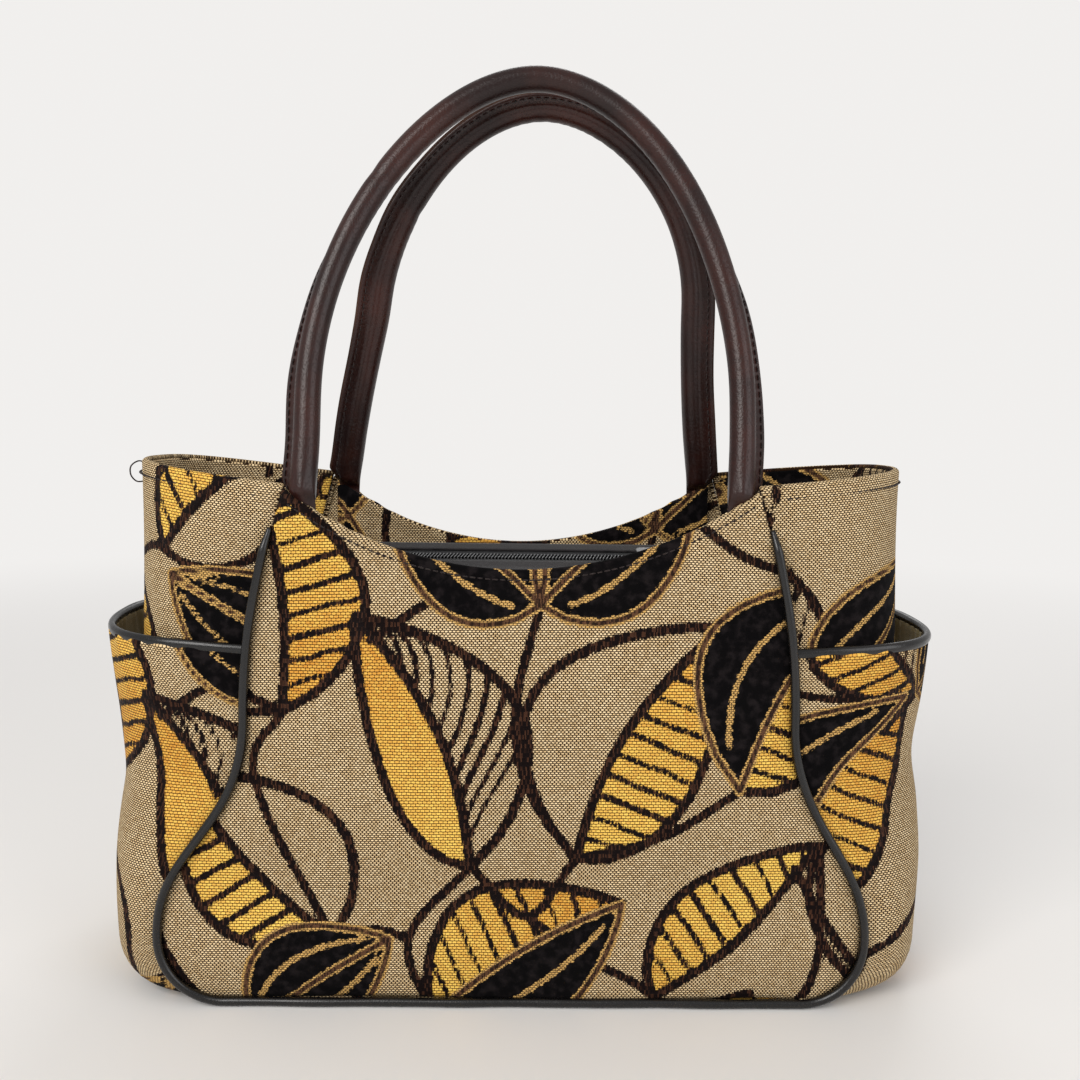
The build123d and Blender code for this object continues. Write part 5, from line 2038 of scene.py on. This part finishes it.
@dataclass(frozen=True)
class Stitching(Maker):
    """Rows of visible thread.

    Args:
        repeater: Tree that lays the stitches.
        body: The sewn body.
        handles: Both handles.
        thread_radius: Radius of the thread.
        leather_pitch: Distance between stitches on a handle.
        cloth_pitch: Distance between stitches at the rim.
    """

    repeater: Repeater
    body: Body
    handles: Sequence[Handle]
    thread_radius: float = 0.00032
    leather_pitch: float = 0.0036
    cloth_pitch: float = 0.0031

    def stitch(self, name: str, pitch: float, share: float) -> Thing:
        """One stitch over a share of its pitch: a thread that dips into the cloth at both ends."""
        x = np.linspace(-0.5, 0.5, 7)
        path = np.stack([x * pitch * share, 0.0 * x, self.thread_radius * (0.9 - 36.0 * x**4)], axis=1)
        return bent_wire(name, path, self.thread_radius)

    def rim_run(self, side: Side) -> tuple[Array, Array]:
        """Line of topstitching below the front or back rim."""
        form = self.form
        x = np.linspace(-1.0, 1.0, 121) * (form.rim_half - 0.004)
        depth = np.full_like(x, self.body.stitch_drop)
        z = form.rim(x) - depth
        reach = form.panel_reach(x, z) + self.body.relief(x, z, depth, side.value)
        return self.turned(np.stack([x, -reach, z], axis=1), side), np.tile(side.outward, (len(x), 1))

    def wall_run(self, side: Side) -> tuple[Array, Array]:
        """Line of topstitching below a gusset's rim."""
        share = 1.0 - self.body.stitch_drop / self.form.upright
        grid = EndWall(self.form, Layer.GUSSET, rows=3, columns=161).grid(0.0, share - 0.01, share + 0.01)
        points = self.turned(grid, side)
        return points[1, 4:-4], grid_normals(points)[1, 4:-4]

    def build(self) -> None:
        """Lay every row of stitches."""
        thread = self.wardrobe.materials["dark_thread"]
        short = self.stitch("rim_stitch_item", self.cloth_pitch, 0.78)
        long = self.stitch("handle_stitch_item", self.leather_pitch, 0.74)
        rim = [self.rim_run(Side.FRONT), self.rim_run(Side.BACK), self.wall_run(Side.RIGHT), self.wall_run(Side.LEFT)]
        piece = self.repeater.along("rim_stitches", rim, short, self.cloth_pitch, thread)
        self.wardrobe.dress(piece, "black_cloth")
        for handle in self.handles:
            runs = [handle.stitch_line(1), handle.stitch_line(-1)]
            piece = self.repeater.along(handle.name + "_stitches", runs, long, self.leather_pitch, thread)
            self.wardrobe.dress(piece, "handle_leather")
        for item in (short, long):
            bpy.data.objects.remove(item)
        self.loose_thread()

    def loose_thread(self) -> None:
        """Loop of thread that has come out of the left gusset's rim."""
        knots = [(-164.8, -21.0, 227.6), (-168.2, -21.6, 228.6), (-171.2, -22.6, 226.4), (-171.6, -22.2, 222.6),
                 (-169.8, -21.0, 219.8), (-167.4, -20.0, 219.6), (-165.4, -19.6, 220.6)]
        path = smooth_path(knots, 60) * MM
        rings = ring_points(path, (0.31, 0.94, 0.17), self.thread_radius, self.thread_radius, 8)
        piece = tube_object("loose_thread", rings, arc_lengths(path, axis=0))
        piece.data.materials.append(self.wardrobe.materials["dark_thread"])
        self.wardrobe.dress(piece, "black_cloth")


@dataclass(frozen=True)
class Zip(Maker):
    """Coils, tapes and strips of the zip, with its stops, slider and pull. Sides are -1 at the front and 1 behind.

    Args:
        repeater: Tree that repeats the teeth.
        place_y: Depth of the zip's middle line.
        height: Its height.
        lean: How far it leans towards the front, in degrees.
        left: Where the coils start.
        right: Where they end.
        root: Distance of the teeth's roots from the middle line.
        head: How far their heads pass it.
        strip_drop: How far below the zip its strips meet the facings.
    """

    repeater: Repeater
    place_y: float = 0.015
    height: float = 0.183
    lean: float = 15.0
    left: float = -0.0585
    right: float = 0.085
    tape_left: float = -0.088
    tape_right: float = 0.092
    tape_reach: float = 0.014
    tape_half: float = 0.0003
    pitch: float = 0.0016
    wire: float = 0.00036
    root: float = 0.0030
    head: float = 0.00035
    loop_half: float = 0.00068
    strip_edge: float = 0.007
    strip_thickness: float = 0.0009
    strip_drop: float = 0.014
    crown: float = 0.00012

    def section(self, y: Any, z: Any) -> tuple[Any, Any]:
        """Depth and height in the bag of a point of the zip's own section."""
        lean = math.radians(self.lean)
        return (self.place_y + y * math.cos(lean) - z * math.sin(lean),
                self.height + y * math.sin(lean) + z * math.cos(lean))

    def sew_strip(self, node: str, side: int, points: Array, up: Array, thickness: float, slot: str,
                  steps: int) -> None:
        """Tape or strip of one side, made for the front with its columns to the right.

        Args:
            node: Node that it stands for.
            side: Its side.
            points: Grid of its points.
            up: Place up the cloth of each point.
            thickness: Its thickness.
            slot: Its material.
            steps: Steps round its edge.
        """
        points = points[:, ::-side]
        self.sew(node, points, points[..., 0], up, thickness, slot=slot, edge_steps=steps)

    def coil(self, node: str, side: int) -> None:
        """One row of loops."""
        turn = np.linspace(0.0, 2 * math.pi, 13)
        middle, half = -(self.root - self.head) / 2, (self.root + self.head) / 2
        across = middle + half * np.sign(np.cos(turn)) * np.abs(np.cos(turn)) ** 0.45
        up = self.loop_half * np.sign(np.sin(turn)) * np.abs(np.sin(turn)) ** 0.6
        slant = 0.35 * self.pitch * (across - middle) / half
        loop = bent_wire(node + "_item", np.stack([slant * np.sin(turn), across, up], axis=1), self.wire)
        count = int((self.right - self.left) / self.pitch)
        x = self.left + (0.25 if side < 0 else 0.75) * self.pitch + np.arange(count) * self.pitch
        y, z = self.section(np.zeros(count), np.zeros(count))
        lean = math.radians(self.lean)
        facing = np.tile([0.0, -math.sin(lean), math.cos(lean)], (count, 1))
        run = [(np.stack([x[::-side], y, z], axis=1), facing)]
        piece = self.repeater.along(node + "_teeth", run, loop, self.pitch, self.wardrobe.materials["zip_coil"], 0.0)
        bpy.data.objects.remove(loop)
        self.wardrobe.dress(piece, "zip_coil", node)

    def tape(self, node: str, side: int) -> None:
        """One tape, rising over the root of its row."""
        x = np.linspace(self.tape_left, self.tape_right, 181)[None, :]
        across = np.linspace(self.tape_reach, self.root + 0.0002, 15)[:, None]
        up = self.tape_half + self.crown * np.sin(x / 0.004) * smooth((across - 0.005) / 0.003)
        points = np.stack(np.broadcast_arrays(x, *self.section(side * across, up)), axis=-1)
        self.sew_strip(node, side, points, side * across, 2 * self.tape_half, "zip_tape", 2)

    def strip(self, node: str, side: int) -> None:
        """Black strip from one tape down to the facing."""
        form = self.form
        x = np.linspace(self.tape_left, self.tape_right, 121)
        level = self.tape_half + 0.00015 + self.strip_thickness
        flat = np.linspace(0.0, 1.0, 6)[:, None]
        edge_y, edge_z = self.section(side * mix(self.strip_edge, self.tape_reach + 0.001, flat), level)
        low_z = self.height - self.strip_drop + self.strip_thickness
        wall = side * (form.panel_reach(x, np.array(low_z)) - form.layer - form.facing - 0.0003)
        share = np.linspace(0.0, 1.0, 16)[1:, None]
        ripple = 0.0009 * np.sin(x / 0.012 + 2.0 * share + side) * np.sin(math.pi * share)
        y = np.vstack([edge_y + 0.0 * x, mix(edge_y[-1], wall, share)])
        z = np.vstack([edge_z + 0.0 * x, mix(edge_z[-1], low_z, share**1.3) + ripple])
        points = np.stack(np.broadcast_arrays(x, y, z), axis=-1)[::-1]
        up = arc_lengths(points[:, ::-side], axis=0)
        self.sew_strip(node, side, points, up, self.strip_thickness, "black_cloth", 3)

    def build(self) -> None:
        """Make the zip."""
        for side, word in ((-1, "front"), (1, "back")):
            self.coil(word + "_zip_coil", side)
            self.tape(word + "_zip_tape", side)
            self.strip(word + "_zip_strip", side)
        for node, slot in (("end_stop", "coil"), ("top_stops", "coil"), ("slider", "metal"), ("pull", "metal")):
            self.wardrobe.paint_node("zip_" + node, "zip_" + slot)


# Studio


@dataclass(frozen=True)
class Studio:
    """Pale floor and background, soft lamps and the camera at the photograph's angle.

    Args:
        lens: Focal length in millimetres on a sensor 36 mm wide.
        position: The camera's place.
        yaw: Turn to the right, in degrees.
        pitch: Tilt downwards, in degrees.
        roll: Roll, in degrees.
    """

    lens: float = 34.67
    position: tuple[float, float, float] = (0.0016, -0.480, 0.248)
    yaw: float = 0.79
    pitch: float = 6.5
    roll: float = 0.75
    floor_radius: float = 4.0
    floor_colour: Colour = colour(0.80, 0.785, 0.77)
    backdrop: Colour = colour(0.88, 0.865, 0.85)

    def camera(self) -> None:
        """Place the camera."""
        yaw, pitch, roll = (math.radians(angle) for angle in (self.yaw, self.pitch, self.roll))
        forward = Vector((math.sin(yaw) * math.cos(pitch), math.cos(yaw) * math.cos(pitch), -math.sin(pitch)))
        right = Vector((math.cos(yaw), -math.sin(yaw), 0.0))
        up = right.cross(forward)
        turned_right = right * math.cos(roll) + up * math.sin(roll)
        turned_up = up * math.cos(roll) - right * math.sin(roll)
        data = bpy.data.cameras.new("camera")
        data.lens, data.sensor_width = self.lens, 36.0
        data.clip_start = 0.01
        camera = linked("camera", data)
        camera.matrix_world = Matrix.Translation(self.position) @ Matrix(
            (turned_right, turned_up, -forward)).transposed().to_4x4()
        bpy.context.scene.camera = camera

    def lamp(self, name: str, place: Sequence[float], size: float, power: float, tint: Sequence[float]) -> None:
        """Soft square lamp that faces the bag."""
        data = bpy.data.lights.new(name, "AREA")
        data.shape, data.size, data.energy, data.color = "SQUARE", size, power, tint
        lamp = linked(name, data)
        lamp.location = place
        aim = Vector((0.0, 0.0, 0.15)) - Vector(place)
        lamp.rotation_mode = "QUATERNION"
        lamp.rotation_quaternion = aim.to_track_quat("-Z", "Y")

    def floor(self) -> None:
        """Round pale floor that fades into the background far from the bag."""
        bpy.ops.mesh.primitive_circle_add(vertices=96, radius=self.floor_radius, fill_type="NGON")
        floor = bpy.context.object
        floor.name = "floor"
        made = bpy.data.materials.new("pale_floor")
        made.use_nodes = True
        net = Graph(made.node_tree)
        shader = made.node_tree.nodes["Principled BSDF"]
        net.wire(shader, {"Base Color": self.floor_colour, "Roughness": 0.55, "Specular IOR Level": 0.25})
        place = net.add("ShaderNodeTexCoord").outputs["Object"]
        distance = net.add("ShaderNodeVectorMath", {0: place}, operation="LENGTH").outputs["Value"]
        glow = net.add("ShaderNodeEmission", {"Color": self.backdrop, "Strength": 1.0})
        fade = net.add("ShaderNodeMixShader", {0: net.band(distance, 0.35, 1.6), 1: shader.outputs[0],
                                                 2: glow.outputs[0]})
        made.node_tree.links.new(fade.outputs[0], made.node_tree.nodes["Material Output"].inputs["Surface"])
        floor.data.materials.append(made)

    def world(self) -> None:
        """Even light from all round, and a pale background where the camera sees past the floor."""
        world = bpy.data.worlds.new("studio")
        world.use_nodes = True
        bpy.context.scene.world = world
        net = Graph(world.node_tree)
        rays = net.add("ShaderNodeLightPath").outputs
        seen = net.math("MAXIMUM", rays["Is Camera Ray"], rays["Is Transmission Ray"])
        shown = net.add("ShaderNodeBackground", {"Color": self.backdrop, "Strength": 1.0})
        light = net.add("ShaderNodeBackground", {"Color": colour(1.0, 0.99, 0.98), "Strength": 0.55})
        both = net.add("ShaderNodeMixShader", {0: seen, 1: light.outputs[0], 2: shown.outputs[0]})
        output = world.node_tree.nodes["World Output"]
        world.node_tree.links.new(both.outputs[0], output.inputs["Surface"])

    def build(self) -> None:
        """Set up floor, background, lamps, camera and plain colours."""
        bpy.context.scene.view_settings.view_transform = "Standard"
        self.floor()
        self.world()
        self.lamp("window", (-0.75, -1.15, 1.05), 0.9, 17.0, (1.0, 0.985, 0.96))
        self.lamp("fill", (1.1, -0.9, 0.6), 1.0, 6.0, (0.97, 0.98, 1.0))
        self.lamp("behind", (0.3, 1.1, 1.2), 1.0, 7.0, (1.0, 1.0, 1.0))
        self.camera()


def corners(box: tuple[Vector, Vector]) -> list[list[float]]:
    """Both corners of a box as plain numbers."""
    return [list(corner) for corner in box]


def main() -> None:
    """Build the bag's looks around the frame."""
    logging.basicConfig(level=logging.INFO, format="%(message)s")
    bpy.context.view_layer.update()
    kit = (BagForm.from_frame(), Softness(), Wardrobe(), ClothDesign())
    body = Body(*kit)
    body.build()
    Trim(*kit).build()
    handles = [Handle(*kit, "front_handle", True, 0.4),
               Handle(*kit, "back_handle", False, 2.2, left_lean=0.017, right_lean=0.0095, straight_top=0.300)]
    for handle in handles:
        handle.cover()
        handle.core()
    repeater = Repeater()
    Stitching(*kit, repeater, body, handles).build()
    Zip(*kit, repeater).build()
    Studio().build()


if __name__ == "__main__":
    main()
